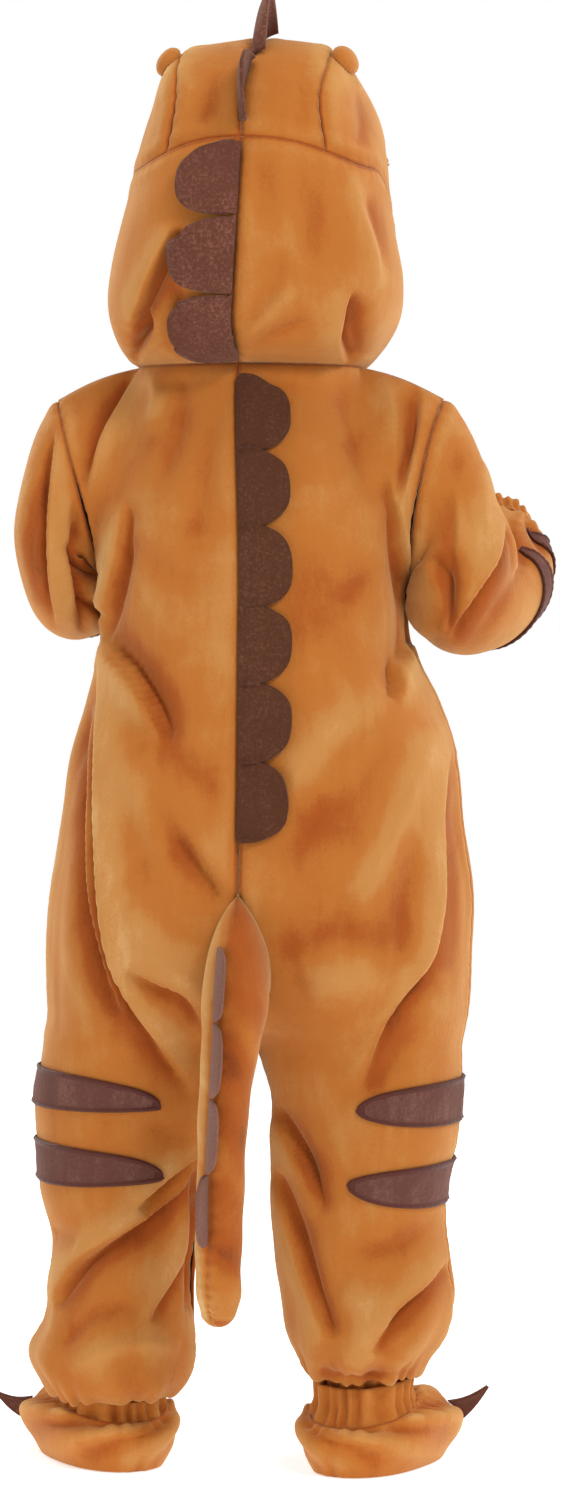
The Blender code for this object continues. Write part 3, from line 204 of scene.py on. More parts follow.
# Spikes: half discs of felt along a seam, by the height of their two ends and how far they reach
Spike = namedtuple("Spike", "top bottom reach")
HOOD_SPIKES = [Spike(0.866, 0.820, 0.0375), Spike(0.819, 0.773, 0.0385), Spike(0.772, 0.733, 0.041)]
BACK_SPIKES = [
    Spike(0.7180, 0.6710, 0.0335),
    Spike(0.6705, 0.6220, 0.0322),
    Spike(0.6215, 0.5725, 0.0322),
    Spike(0.5720, 0.5225, 0.0325),
    Spike(0.5220, 0.4725, 0.0332),
    Spike(0.4720, 0.4220, 0.0315),
]
TAIL_SPIKES = [
    Spike(0.3560, 0.3110, 0.017),
    Spike(0.3090, 0.2620, 0.019),
    Spike(0.2600, 0.2130, 0.019),
    Spike(0.2110, 0.1640, 0.014),
]
SPIKE_SQUARENESS = 2.8
SPIKE_EDGE_RISE, SPIKE_RIPPLE, SPIKE_ROOT, HOOD_SPIKE_SINK = 0.0034, 0.0006, 0.0003, 0.45
Fin = namedtuple("Fin", "start end height sweep lean")
CROWN_FINS = [Fin(0.08, 0.36, 0.0340, 0.10, -0.004), Fin(0.40, 0.66, 0.033, -0.15, -0.009)]
FIN_POINT, FIN_FULLNESS, FIN_FOOT, FIN_ROOT, FIN_BOW = 1.15, 1.0, 0.004, 0.0002, 0.0012

# Stripes
Stripe = namedtuple("Stripe", "side top bottom tip back_reach front_reach")
LEG_STRIPES = [
    Stripe(LEFT, 0.265, 0.241, 0.244, 0.39, 0.45),
    Stripe(LEFT, 0.217, 0.191, 0.199, 0.34, 0.45),
    Stripe(RIGHT, 0.260, 0.232, 0.245, 0.50, 0.45),
    Stripe(RIGHT, 0.206, 0.178, 0.197, 0.49, 0.45),
]
SleeveStripe = namedtuple("SleeveStripe", "along half_length start end")
SLEEVE_STRIPES = [SleeveStripe(0.72, 0.036, 0.16, 0.66), SleeveStripe(0.87, 0.036, 0.16, 0.66)]
LEG_STRIPE_SIZE, STRIPE_SHEER = (0.155, 0.0255), 0.0003
BORDER_PLACE, BORDER_HALF, BORDER_RISE, BORDER_EDGE = 0.0015, 0.0014, 0.0009, 0.0016
STITCH_DEPTH, STITCH_LENGTH = 0.00018, 0.0011

# Booties
FootRing = namedtuple("FootRing", "half_length half_width forward heel_height toe_height")
BOOTIE = [
    FootRing(0.0612, 0.0342, 0.020, 0.0006, 0.0006),
    FootRing(0.0670, 0.0420, 0.021, 0.012, 0.013),
    FootRing(0.0700, 0.0465, 0.021, 0.022, 0.030),
    FootRing(0.0640, 0.0450, 0.016, 0.0270, 0.039),
    FootRing(0.0505, 0.0405, 0.008, 0.0305, 0.045),
    FootRing(0.0365, 0.0345, -0.002, 0.0325, 0.0495),
]
FOOT_SQUARENESS = 2.3
Foot = namedtuple("Foot", "x y toe_out collar_top collar_radius")
FEET = {
    LEFT: Foot(0.0985, CROTCH_Y, 32, 0.0452, 0.0330),
    RIGHT: Foot(0.0700, CROTCH_Y, 22, 0.0575, 0.0310),
}
COLLAR_SEAM_RADIUS, COLLAR_LENGTH = 0.0350, 1.02
COLLAR_SEAM_HEEL, COLLAR_SEAM_TOE, COLLAR_TOE_RISE, COLLAR_LEAST = 0.0300, 0.0470, 0.008, 0.006
COLLAR_WAVE, COLLAR_GATHERS = 0.0004, 12
CLAW_LENGTH, CLAW_LIFT, CLAW_CURVE = 0.0235, 0.0006, 0.0022
CLAW_ROOT, CLAW_TIP_HEIGHT, CLAW_POINT = (0.0205, 0.0370), 0.0400, 0.08
CLAW_TURNS = (-38, 0, 38)
CLAW_LIFTS = {LEFT: (-0.002, -0.006), RIGHT: (0.0006, 0.0030), 0: (-0.005, -0.012)}

# Front closure
PLACKET_HALF_WIDTH, PLACKET_LIFT, PLACKET_START, PLACKET_END = 0.012, 0.0019, -0.97, 0.42
PLACKET_THICKNESS, PLACKET_CROWN = 0.0016, 0.0010

# Seams, hems and the small waves of the cloth
SEAM_DEPTH, SEAM_WIDTH, SEAM_HOLD = 0.0016, 0.0022, 0.85
PILLOW_RISE, PILLOW_PLACE, PILLOW_WIDTH = 0.0008, 0.0075, 0.0050
PUCKER_DEPTH, PUCKER_LENGTH, PUCKER_WIDTH = 0.00035, 0.0105, 0.0070
HEM_WIDTH, HEM_RISE = 0.012, 0.0007
HEM_STITCH_DEPTH, HEM_STITCH_WIDTH, HEM_PUCKER_LENGTH = 0.0010, 0.0016, 0.009
SEAM_SHADE, HEM_SHADE, HOLD_WIDTH, COVER_WIDTH, NECK_CALM = 0.0016, 0.0014, 0.006, 0.019, 0.004
WANDER_DEPTH, WANDER_BEND, WANDER_RATE = 0.0009, 0.012, 38
BRIDGE_DEPTH, BRIDGE_HALF = 0.0015, 6
# Blur windows and full scale of the painted shading on folds
FOLD_SHADE_FINE, FOLD_SHADE_WIDE, FOLD_SHADE_FULL = 2, 18, 0.0036
CREASE_EDGE, CREASE_GROOVE, CREASE_ROUND = 0.0012, 0.0022, 0.0016
STEP_DEPTH, SINK_DEPTH = 2.1, 1.7
PIXEL, MM = 0.00066, 0.001
FACING_LOW, FACING_HIGH = -0.04, 0.18

# Small relief: soft bumps by a share along a piece or a distance from its edge, and gathers round an edge
Bump = namedtuple("Bump", "rise place width")
CROWN_CORNER, CROWN_MIDDLE = Bump(0.0085, 0.31, 0.12), Bump(0.0040, 0.0, 0.13)
CROWN_REACH = Bump(1.0, 0.42, 0.24)
SLEEVE_SLACK = {LEFT: Bump(0.003, 0.40, 0.16), RIGHT: Bump(0.0102, 0.40, 0.16)}
SLACK_SIDE = Bump(1.0, 0.0, 0.13)
CUFF_CHANNEL, CUFF_END_RISE = Bump(0.0008, 0.45, 0.16), 0.0010
TAIL_DITCH, TAIL_PUCKER, TAIL_END_RISE = Bump(0.0016, 0.0, 0.0030), Bump(0.0004, 0.0, 0.007), 0.0026
HEEL_DITCH, HEEL_PILLOW, HEEL_ROUND = Bump(0.0012, 0.0, 0.0020), Bump(0.0006, 0.006, 0.004), 0.30
BROW_PUCKER = Bump(0.0004, 0.0, 0.12)
Gathers = namedtuple("Gathers", "depth count bend bends drift")
WRIST_GATHERS = Gathers(0.0012, 17, 0.5, 4, 1.3)
CUFF_RIBS = Gathers(0.0011, 17, 0.4, 6, 0.0)
COLLAR_PLEATS = Gathers(0.0017, 19, 0.4, 8, 0.0)
INSTEP_GATHERS = Gathers(0.0017, 21, 0.6, 6, 0.0)
COLLAR_FLARE, COLLAR_UNEVEN, INSTEP_DENT = 0.0010, 0.0007, 0.0026
ANKLE_DEPTH, ANKLE_SOFT_DEPTH = 0.0019, 0.0012

# Creases, by pixels of the photograph's frame. A step raises the cloth on the right of a path that runs
# down, and above one that runs to the right; a sink lowers it on both sides. Depths and widths in mm.
Crease = namedtuple("Crease", "face step sink width path")
BACK_CREASES = [
    # Left hip and side
    (3.4, 1.2, 15, [(99, 672), (97, 700), (95, 770), (96, 850), (103, 936), (120, 990), (150, 1035),
     (196, 1096)]),
    (3.0, 1.0, 10, [(86, 705), (81, 760), (80, 850), (85, 915), (100, 975), (118, 1015)]),
    (-3.4, 1.6, 16, [(103, 640), (112, 654), (128, 672), (149, 702), (161, 725), (166, 741)]),
    (1.8, 1.0, 13, [(176, 832), (192, 851), (210, 875), (227, 901)]),
    (0.0, 2.6, 16, [(112, 716), (150, 735), (190, 765), (227, 800)]),
    (0.0, 2.0, 14, [(143, 798), (165, 830), (187, 868)]),
    (0.0, -2.4, 14, [(120, 760), (140, 800), (160, 850), (172, 900)]),
    (1.8, 1.6, 14, [(127, 967), (155, 985), (185, 999), (205, 1030)]),
    (0.0, -2.2, 16, [(128, 900), (150, 940), (185, 975), (204, 990)]),
    (0.0, 2.0, 12, [(62, 820), (56, 900), (54, 980), (58, 1040)]),
    # Left knee and calf
    (2.6, 1.2, 12, [(138, 1206), (152, 1194), (172, 1177), (199, 1158)]),
    (3.2, 1.4, 14, [(54, 1305), (62, 1288), (76, 1268), (96, 1252), (134, 1229), (165, 1208),
     (184, 1192), (199, 1168)]),
    (-2.6, 1.4, 10, [(198, 1176), (191, 1222), (182, 1262), (166, 1292), (150, 1318)]),
    (-2.2, 1.2, 7, [(200, 1200), (196, 1240), (190, 1275), (184, 1310)]),
    (0.0, 2.2, 14, [(46, 1228), (60, 1236), (80, 1240)]),
    (0.0, 2.4, 12, [(60, 1345), (80, 1325), (110, 1310), (140, 1306)]),
    (0.0, -2.0, 12, [(70, 1370), (105, 1350), (150, 1342), (180, 1350)]),
    (0.0, 1.8, 12, [(150, 1125), (172, 1135), (196, 1138)]),
    # Right hip and side
    (-3.0, 1.4, 12, [(450, 752), (446, 806), (447, 860), (446, 910), (434, 960), (404, 998),
     (380, 1040), (360, 1092)]),
    (0.0, -3.4, 20, [(436, 716), (420, 765), (404, 804), (385, 845), (362, 890), (350, 905)]),
    (0.0, 2.4, 16, [(420, 840), (406, 890), (400, 935), (410, 960)]),
    (0.0, -2.8, 20, [(407, 676), (375, 700), (333, 728), (300, 770), (285, 815)]),
    (0.0, 2.2, 20, [(330, 800), (310, 830), (285, 870)]),
    (0.0, 2.6, 18, [(268, 952), (300, 944), (345, 936), (390, 945)]),
    (0.0, -2.6, 26, [(300, 985), (345, 975), (385, 985)]),
    (2.4, 1.4, 10, [(395, 660), (398, 680), (391, 700)]),
    (0.0, 2.2, 14, [(452, 800), (460, 860), (461, 930), (452, 1000)]),
    (0.0, 2.0, 16, [(430, 1010), (400, 1050), (370, 1085), (330, 1095)]),
    # Right calf
    (-2.8, 1.4, 12, [(274, 1110), (287, 1137), (305, 1170), (320, 1215)]),
    (-2.8, 1.4, 11, [(275, 1172), (284, 1205), (300, 1256), (318, 1310), (330, 1338)]),
    (-2.4, 1.6, 13, [(452, 1256), (430, 1285), (400, 1311), (385, 1330), (372, 1350)]),
    (0.0, 2.4, 15, [(440, 1215), (410, 1240), (370, 1255), (340, 1250)]),
    (0.0, -2.2, 14, [(340, 1290), (370, 1310), (400, 1345)]),
    (0.0, 3.0, 7, [(316, 1368), (330, 1377), (350, 1381), (383, 1379), (411, 1367)]),
    # Shoulders and upper back
    (0.0, -2.4, 9, [(150, 374), (157, 390), (156, 408), (148, 430)]),
    (2.0, 1.4, 11, [(136, 372), (122, 396), (98, 440), (84, 500)]),
    (0.0, 2.2, 13, [(180, 372), (184, 400), (172, 450), (150, 500)]),
    (0.0, 2.0, 15, [(226, 376), (215, 430), (200, 500), (196, 560)]),
    (0.0, 2.0, 15, [(340, 372), (352, 430), (372, 500)]),
    (0.0, -2.2, 13, [(378, 372), (392, 410), (396, 460), (390, 520)]),
    (1.6, 1.2, 12, [(415, 385), (418, 420), (408, 470), (394, 510)]),
    (-3.0, 1.2, 11, [(126, 505), (120, 540), (116, 570), (107, 612), (102, 640)]),
    (2.8, 1.0, 11, [(387, 478), (396, 515), (404, 560), (414, 615), (410, 645), (396, 672)]),
    (0.0, 2.2, 16, [(130, 540), (165, 570), (210, 585)]),
    (0.0, 2.0, 16, [(380, 560), (345, 600), (300, 625)]),
    # Left sleeve
    (2.6, 1.4, 10, [(58, 424), (50, 470), (45, 530), (47, 580), (56, 625)]),
    (-2.2, 1.2, 9, [(73, 500), (70, 545), (74, 590), (80, 632)]),
    (0.0, 2.2, 9, [(32, 500), (26, 550), (36, 600)]),
    (0.0, -2.0, 9, [(92, 575), (90, 605), (92, 632)]),
    (2.2, 1.2, 7, [(68, 542), (84, 560), (98, 575)]),
    (2.4, 1.4, 7, [(82, 594), (94, 602), (107, 613)]),
    # Right sleeve
    (1.8, 1.2, 6, [(525, 513), (541, 532), (556, 558)]),
    (0.0, -2.4, 10, [(452, 470), (458, 520), (456, 560)]),
    (-2.2, 1.2, 8, [(430, 560), (446, 590), (446, 636)]),
    (0.0, 2.6, 12, [(462, 440), (452, 500), (450, 560), (440, 620), (428, 648)]),
    (-2.4, 1.4, 12, [(508, 520), (500, 560), (474, 600), (448, 640)]),
    (0.0, -2.2, 12, [(480, 460), (484, 520), (474, 570)]),
    (0.0, 2.2, 10, [(530, 530), (520, 575), (492, 620), (470, 648)]),
    # Hood
    (-3.2, 1.4, 12, [(176, 228), (168, 246), (157, 267), (142, 303), (131, 332)]),
    (3.0, 1.6, 6, [(143, 313), (150, 322), (150, 334), (142, 348), (137, 360)]),
    (0.0, 3.0, 8, [(144, 318), (141, 335), (133, 350)]),
    (0.0, -3.0, 12, [(350, 172), (360, 214), (373, 250), (376, 290)]),
    (0.0, 2.6, 10, [(366, 196), (378, 230), (386, 270)]),
    (-2.4, 1.5, 10, [(352, 292), (346, 320), (343, 342), (348, 364)]),
    (0.0, 2.6, 11, [(362, 300), (358, 330), (360, 358)]),
    (0.0, 2.4, 8, [(236, 338), (247, 320), (262, 306), (276, 280), (280, 250)]),
    (0.0, -2.0, 8, [(243, 342), (262, 318), (284, 296), (296, 286)]),
    (0.0, 2.0, 9, [(246, 352), (275, 334), (310, 322)]),
    (0.0, 2.4, 9, [(170, 352), (182, 330), (178, 300), (168, 280)]),
    (0.0, 1.6, 14, [(262, 150), (268, 190), (262, 230)]),
    (0.0, 1.4, 14, [(310, 165), (316, 215), (308, 262)]),
    (0.0, 1.6, 10, [(200, 128), (214, 100), (214, 70)]),
    (0.0, 1.8, 10, [(300, 136), (308, 100), (300, 66)]),
    (0.0, 1.8, 9, [(356, 150), (362, 120), (352, 90)]),
]
# The front's are as soft and as uneven as the back's
FRONT_CREASES = [
    (3.0, 1.2, 14, [(120, 660), (112, 720), (112, 800), (124, 880), (150, 950)]),
    (-3.0, 1.2, 14, [(402, 660), (410, 730), (408, 810), (392, 900), (360, 980)]),
    (0.0, 2.4, 16, [(150, 700), (185, 740), (225, 762)]),
    (0.0, 2.6, 16, [(370, 690), (335, 735), (292, 760)]),
    (0.0, -2.6, 18, [(180, 850), (220, 880), (255, 930)]),
    (2.4, 1.4, 12, [(340, 930), (300, 960), (268, 1000)]),
    (-2.4, 1.4, 12, [(180, 940), (215, 970), (246, 1010)]),
    (0.0, 2.4, 13, [(70, 1240), (110, 1225), (160, 1215), (190, 1190)]),
    (2.6, 1.4, 12, [(60, 1310), (95, 1280), (140, 1268), (185, 1262)]),
    (0.0, 2.4, 13, [(290, 1190), (330, 1215), (390, 1225), (440, 1215)]),
    (-2.6, 1.4, 12, [(300, 1270), (350, 1285), (400, 1290), (440, 1320)]),
    (0.0, 2.2, 14, [(160, 420), (175, 480), (170, 540)]),
    (0.0, 2.2, 14, [(360, 420), (346, 480), (352, 545)]),
    (2.4, 1.2, 11, [(390, 490), (396, 545), (404, 610)]),
    (-2.4, 1.2, 11, [(128, 500), (122, 560), (116, 620)]),
    (0.0, 2.0, 14, [(200, 620), (225, 650), (232, 700)]),
    (0.0, 2.0, 14, [(330, 600), (300, 640), (292, 690)]),
]
CREASES = [Crease(BACK, *row) for row in BACK_CREASES] + [Crease(FRONT, *row) for row in FRONT_CREASES]


def between(a, b, share):
    return a + (b - a) * share


def ease(share):
    share = np.clip(share, 0.0, 1.0)
    return share * share * (3 - 2 * share)


def bell(value, width, power=2):
    """1 where the value is 0, falling off softly over the width."""
    return np.exp(-((value / width) ** power))


def bump(row, value):
    return row.rise * bell(value - row.place, row.width)


def gathered(row, turn, along=0.0):
    """Unevenly spaced gathers round an edge: 1 on a ridge and -1 in a groove."""
    turned = turn * row.count + row.bend * np.sin(turn * row.bends * math.pi) + row.drift * along
    return np.cos(FULL_TURN * turned)


def spread(a, b):
    """Two shares as arrays of one shape."""
    return np.broadcast_arrays(np.asarray(a, float), np.asarray(b, float))


def signed_power(value, power):
    return np.sign(value) * np.abs(value) ** power


def point(x, y, height):
    """Places as one array, its last axis x, y and z."""
    x, y, height = np.broadcast_arrays(x, y, height)
    return np.stack([x, y, height - SHOULDER_HEIGHT], axis=-1)


def unit(vectors):
    return vectors / np.maximum(np.linalg.norm(vectors, axis=-1, keepdims=True), 1e-12)


def choose(condition, a, b):
    return np.where(np.asarray(condition)[..., None], a, b)


def row_at(rows, share):
    """The table's values on a smooth curve through its rows, 0 at the first row and 1 at the last."""
    table = np.array(rows, dtype=float)
    place = np.clip(np.asarray(share, dtype=float), 0.0, 1.0) * (len(rows) - 1)
    index = np.minimum(place.astype(int), len(rows) - 2)
    f = (place - index)[..., None]
    a, b, c = table[np.maximum(index - 1, 0)], table[index], table[index + 1]
    d = table[np.minimum(index + 2, len(rows) - 1)]
    bend = 2 * a - 5 * b + 4 * c - d + f * (3 * (b - c) + d - a)
    values = b + 0.5 * f * (c - a + f * bend)
    return type(rows[0])(*np.moveaxis(values, -1, 0))


def sway(height):
    """How far the upper body leans to the wearer's left at the neck and the hood back to the right."""
    return row_at(SWAY, (height - SWAY_START) / SWAY_STEP / (len(SWAY) - 1)).shift


def swayed(places):
    """Places moved by the sway, and the hood's centre seam behind a little further."""
    moved = places.copy()
    height = places[..., 2] + SHOULDER_HEIGHT
    seam = HOOD_SEAM
    behind = ease(places[..., 1] / seam.depth) * bell(places[..., 0], seam.half_width)
    below = ease((height - NECK_BACK_HEIGHT) / seam.low_run)
    above = 1 - ease((height - seam.high_end) / seam.high_run)
    moved[..., 0] += sway(height) + seam.shift * behind * below * above
    return moved


def hermite(start, end, leaving, arriving, f):
    """A curve from start to end that leaves and arrives along the two given vectors."""
    f = np.asarray(f)[..., None]
    return (
        start * (2 * f**3 - 3 * f**2 + 1)
        + leaving * (f**3 - 2 * f**2 + f)
        + end * (3 * f**2 - 2 * f**3)
        + arriving * (f**3 - f**2)
    )


# Surfaces, the same as the solids'


def body_table(side):
    leg = LEGS[side]
    rows = []
    for row in TORSO:
        outer = row.left if side == LEFT else row.right
        sizes = (outer, 0.0, row.back, row.front, leg[0].back, leg[0].front, row.legness)
        rows.append(Section(row.height, *sizes))
    for row in leg:
        rows.append(Section(row.height, row.outer, row.inner, row.back, row.front, row.back, row.front, 1.0))
    return rows


BODY = {LEFT: body_table(LEFT), RIGHT: body_table(RIGHT)}


def lower_body(side, face, across, down):
    """The body below the underarm, across from the centre seam (0) to the side seam (1)."""
    row = row_at(BODY[side], down)
    legness = np.clip(row.legness, 0.0, 1.0)
    torso_turn = math.pi / 2 * across
    torso_depth = row.back if face == BACK else row.front
    torso_x = row.outer * np.maximum(np.sin(torso_turn), 0.0) ** (2 / TORSO_SQUARENESS)
    torso_y = torso_depth * np.maximum(np.cos(torso_turn), 0.0) ** (2 / TORSO_SQUARENESS)
    leg_turn = math.pi * across
    leg_depth = row.leg_back if face == BACK else row.leg_front
    wide = signed_power(-np.cos(leg_turn), 2 / LEG_SQUARENESS)
    leg_x = row.inner + (row.outer - row.inner) * (1 + wide) / 2
    leg_y = leg_depth * np.maximum(np.sin(leg_turn), 0.0) ** (2 / LEG_SQUARENESS)
    x = np.maximum(between(torso_x, leg_x, legness), HALF_GAP)
    y = face * np.maximum(between(torso_y, leg_y, legness), HALF_GAP)
    rise = instep_rise(side, y) * ease((down - INSTEP_START) / INSTEP_RUN)
    return point(side * x, y + CROTCH_Y * legness, row.height + rise)


def instep_rise(side, y):
    """How far a leg's hem climbs over the instep at its front."""
    return INSTEP_RISE[side] * ease((INSTEP_PLACE - y) / INSTEP_DEPTH)


def neck_point(side, turn):
    """The neck edge, from the centre back (0) round the side to the centre front (1)."""
    angle = math.pi * turn
    depth = np.where(turn < 0.5, NECK_BACK, NECK_FRONT)
    behind = between(NECK_BACK_HEIGHT, NECK_SIDE_HEIGHT, turn * 2)
    before = between(NECK_SIDE_HEIGHT, NECK_FRONT_HEIGHT, ease(turn * 2 - 1))
    x = np.maximum(NECK_HALF_WIDTH * np.sin(angle), HALF_GAP)
    return point(side * x, depth * np.cos(angle), np.where(turn < 0.5, behind, before))


def yoke_edge(side, face, across):
    """The top edge of a panel: the neck, then the shoulder seam."""
    turn = np.minimum(across / NECK_SHARE, 1.0) / 2
    neck = neck_point(side, turn if face == BACK else 1 - turn)
    share = np.clip((across - NECK_SHARE) / (1 - NECK_SHARE), 0.0, 1.0)
    x = between(NECK_HALF_WIDTH, SHOULDER_TIP[0], share)
    height = between(NECK_SIDE_HEIGHT, SHOULDER_TIP[1], share) + SHOULDER_BOW * np.sin(math.pi * share)
    edge = choose(across < NECK_SHARE, neck, point(side * x, 0.0, height))
    near = np.abs(edge[..., 1]) < HALF_GAP
    edge[..., 1] = np.where(near, face * HALF_GAP, edge[..., 1])
    return edge


def vector(x, y, z):
    x, y, z = np.broadcast_arrays(x, y, z)
    return np.stack([x, y, z], axis=-1)


def yoke_point(side, face, across, up):
    start = lower_body(side, face, across, 0.0 * up)
    end = yoke_edge(side, face, across)
    to_side = across**3
    leaving = vector(0.0, face * ARMHOLE_BOW * to_side, between(YOKE_RISE_MIDDLE, YOKE_RISE_SIDE, to_side))
    reach = between(YOKE_DIP, -ARMHOLE_BOW, across**2)
    upwards = between(YOKE_NECK_RUN, YOKE_RISE_SIDE, across)
    arriving = vector(side * YOKE_SIDE_RUN * across**2, face * reach, upwards)
    return hermite(start, end, leaving, arriving, up)


def body_point(side, face, across, down):
    across, down = spread(across, down)
    upper = yoke_point(side, face, across, np.clip(-down, 0.0, 1.0))
    return choose(down < 0, upper, lower_body(side, face, across, np.clip(down, 0.0, 1.0)))


def armhole_point(side, turn):
    """The armhole edge, from the underarm (0) up the back to the shoulder (0.5) and down the front."""
    behind = body_point(side, BACK, 1.0, -np.clip(2 * turn, 0.0, 1.0))
    before = body_point(side, FRONT, 1.0, -np.clip(2 * (1 - turn), 0.0, 1.0))
    return choose(turn < 0.5, behind, before)


def sleeve_point(side, turn, along):
    """The sleeve from its head (0) to the wrist (1). Turn 0 is inside, 0.25 back and 0.5 outside."""
    turn, along = spread(np.mod(turn, 1.0), along)
    row = row_at(SLEEVES[side], np.maximum(along - CAP_SHARE, 0.0) / (1 - CAP_SHARE))
    lean, bend, inward = np.radians(row.lean), np.radians(row.bend), np.radians(row.inward)
    out = vector(np.cos(lean) * np.cos(inward), -np.sin(inward), np.sin(lean))
    back = vector(np.sin(inward) * np.cos(bend), np.cos(bend), -np.sin(bend))
    angle = FULL_TURN * turn
    ring = point(row.x, row.y, row.height)
    ring = ring + back * (row.back * np.sin(angle))[..., None] - out * (row.outer * np.cos(angle))[..., None]
    ring[..., 0] *= side
    leaving = vector(side * CAP_LEAVING[0], 0.0, CAP_LEAVING[1])
    arriving = vector(side * CAP_ARRIVING[0], 0.0, CAP_ARRIVING[1])
    head = hermite(armhole_point(side, turn), ring, leaving, arriving, np.minimum(along / CAP_SHARE, 1.0))
    return choose(along >= CAP_SHARE, ring, head)


def hood_point(side, turn, up):
    """The lower hood from the neck (0) to the crown seam (1), turn 0 at the back and 1 at the face."""
    turn, up = spread(turn, up)
    row = row_at(HOOD, up)
    power = 2 / between(2.0, HOOD_SQUARENESS, ease(up * 3))
    angle = np.radians(row.end) * turn
    depth = np.where(np.cos(angle) > 0, row.back, row.front)
    x = np.maximum(row.width * np.maximum(np.sin(angle), 0.0) ** power, HALF_GAP)
    y = depth * signed_power(np.cos(angle), power)
    behind = between(row.back_height, row.side_height, ease(turn * 2))
    before = between(row.side_height, row.edge_height, ease(turn * 2 - 1))
    surface = point(side * x, y, np.where(turn < 0.5, behind, before))
    low = neck_point(side, turn)
    blended = between(low, surface, ease(up / HOOD_NECK_RUN)[..., None])
    return choose(up < HOOD_NECK_RUN, blended, surface)


def arch_point(side, out, forward):
    row = row_at(CROWN, forward)
    angle = np.radians(row.end) * out
    power = 2 / between(HOOD_SQUARENESS, CROWN_SQUARENESS, ease(forward * 4))
    rise = signed_power(np.cos(angle), power)
    x = np.maximum(row.width * np.maximum(np.sin(angle), 0.0) ** power, HALF_GAP)
    y = np.where(rise > 0, between(row.side_y, row.top_y, rise), row.side_y + row.front_run * rise)
    high = between(row.side_height, row.top_height, rise)
    return point(side * x, y, np.where(rise > 0, high, row.side_height + row.drop * rise))


def crown_point(side, out, forward):
    """The crown from its back seam (0) to the brim (1), out 0 at the centre and 1 at the face edge."""
    out, forward = spread(out, forward)
    fade = (1 - ease(forward / CROWN_FADE))[..., None]
    surface = arch_point(side, out, forward)
    surface = surface + (hood_point(side, out, np.ones_like(out)) - arch_point(side, out, 0.0 * out)) * fade
    surface[..., 0] = side * np.maximum(np.abs(surface[..., 0]), HALF_GAP)
    return surface


def seam_placed(out, forward):
    """The share out on the crown, shifted so that its side seams run upright behind."""
    split = between(CROWN_SEAM_BACK, CROWN_SPLIT, ease(forward))
    inner = out / CROWN_SPLIT * split
    outer = split + (out - CROWN_SPLIT) / (1 - CROWN_SPLIT) * (1 - split)
    return np.where(out < CROWN_SPLIT, inner, outer)


def tail_point(turn, along):
    """The tail's skin from its first ring (0) to its last (1). Turn 0 is the back, 0.25 the left."""
    turn, along = spread(turn, along)
    row = row_at(TAIL, along)
    tilt = np.radians(row.tilt)
    outward = vector(0.0, np.sin(tilt), np.cos(tilt))
    angle = FULL_TURN * turn
    middle = point(row.x, row.y, row.height)
    side = vector(row.wide * np.sin(angle), 0.0, 0.0)
    return middle + outward * (row.deep * np.cos(angle))[..., None] + side


def foot_place(side, forward, sideways, height):
    """A place in the foot's own frame, forward to the toe and sideways to the outer side."""
    foot = FEET[side]
    turn = math.radians(foot.toe_out)
    x = foot.x + forward * math.sin(turn) + sideways * math.cos(turn)
    y = foot.y - forward * math.cos(turn) + sideways * math.sin(turn)
    return point(side * x, y, height)


def bootie_point(side, turn, up):
    """The foot cover from the sole edge (0) to the collar seam (1). Turn 0 is the heel."""
    turn, up = spread(turn, up)
    row = row_at(BOOTIE, up)
    angle = FULL_TURN * turn
    power = 2 / between(FOOT_SQUARENESS, 2.0, up)
    forward = row.forward - row.half_length * signed_power(np.cos(angle), power)
    sideways = row.half_width * signed_power(np.sin(angle), power)
    toe = (forward - row.forward + row.half_length) / (2 * row.half_length)
    return foot_place(side, forward, sideways, between(row.heel_height, row.toe_height, toe))


def collar_point(side, turn, up):
    """The bootie's gathered collar, from its seam (0) to its top (1)."""
    turn, up = spread(turn, up)
    foot = FEET[side]
    angle = FULL_TURN * turn
    to_toe = (1 - np.cos(angle)) / 2
    wave = COLLAR_WAVE * np.cos(COLLAR_GATHERS * angle) * ease(up * 3)
    radius = between(COLLAR_SEAM_RADIUS, foot.collar_radius, ease(up * 2)) + wave
    top = foot.collar_top + COLLAR_TOE_RISE * to_toe
    seam = between(COLLAR_SEAM_HEEL, COLLAR_SEAM_TOE, to_toe)
    forward = BOOTIE[-1].forward * (1 - up) - radius * COLLAR_LENGTH * np.cos(angle)
    height = between(seam, np.maximum(top, seam + COLLAR_LEAST), up)
    return foot_place(side, forward, radius * np.sin(angle), height)


def leg_cuff_point(side, turn, down):
    """The elastic cuff below the leg's gathers, turn 0 at the inseam and 0.25 at the back."""
    turn, down = spread(turn, down)
    leg = LEGS[side][-1]
    middle = (leg.outer + leg.inner) / 2
    angle = FULL_TURN * turn
    narrow = (leg.back - ANKLE_RADIUS) * ease(down * 2.4)
    wave = CUFF_WAVE * np.cos(CUFF_GATHERS * angle) * ease(down * 2)
    half_x = (leg.outer - leg.inner) / 2 - CUFF_INSET - narrow + wave
    half_y = leg.back - CUFF_INSET - narrow + wave
    y = half_y * np.sin(angle)
    height = leg.height + instep_rise(side, y) - LEG_CUFF_LENGTH[side] * down
    return point(side * (middle - half_x * np.cos(angle)), CROTCH_Y + y, height)


def sleeve_cuff_point(side, turn, along):
    """The elastic cuff at the wrist, carried on along the forearm."""
    turn, along = spread(turn, along)
    end = sleeve_point(side, turn, 1.0)
    middle = (sleeve_point(side, 0.0, 1.0) + sleeve_point(side, 0.5, 1.0)) / 2
    before = (sleeve_point(side, 0.0, 0.94) + sleeve_point(side, 0.5, 0.94)) / 2
    wave = CUFF_WAVE * np.cos(FULL_TURN * CUFF_GATHERS * turn) * ease(along * 2)
    radial = end - middle
    size = np.linalg.norm(radial, axis=-1) - CUFF_INSET * along + wave
    reach = (WRIST_CUFF_LENGTH * along)[..., None]
    return middle + unit(radial) * size[..., None] + unit(middle - before) * reach


# Creases, seams and gathers


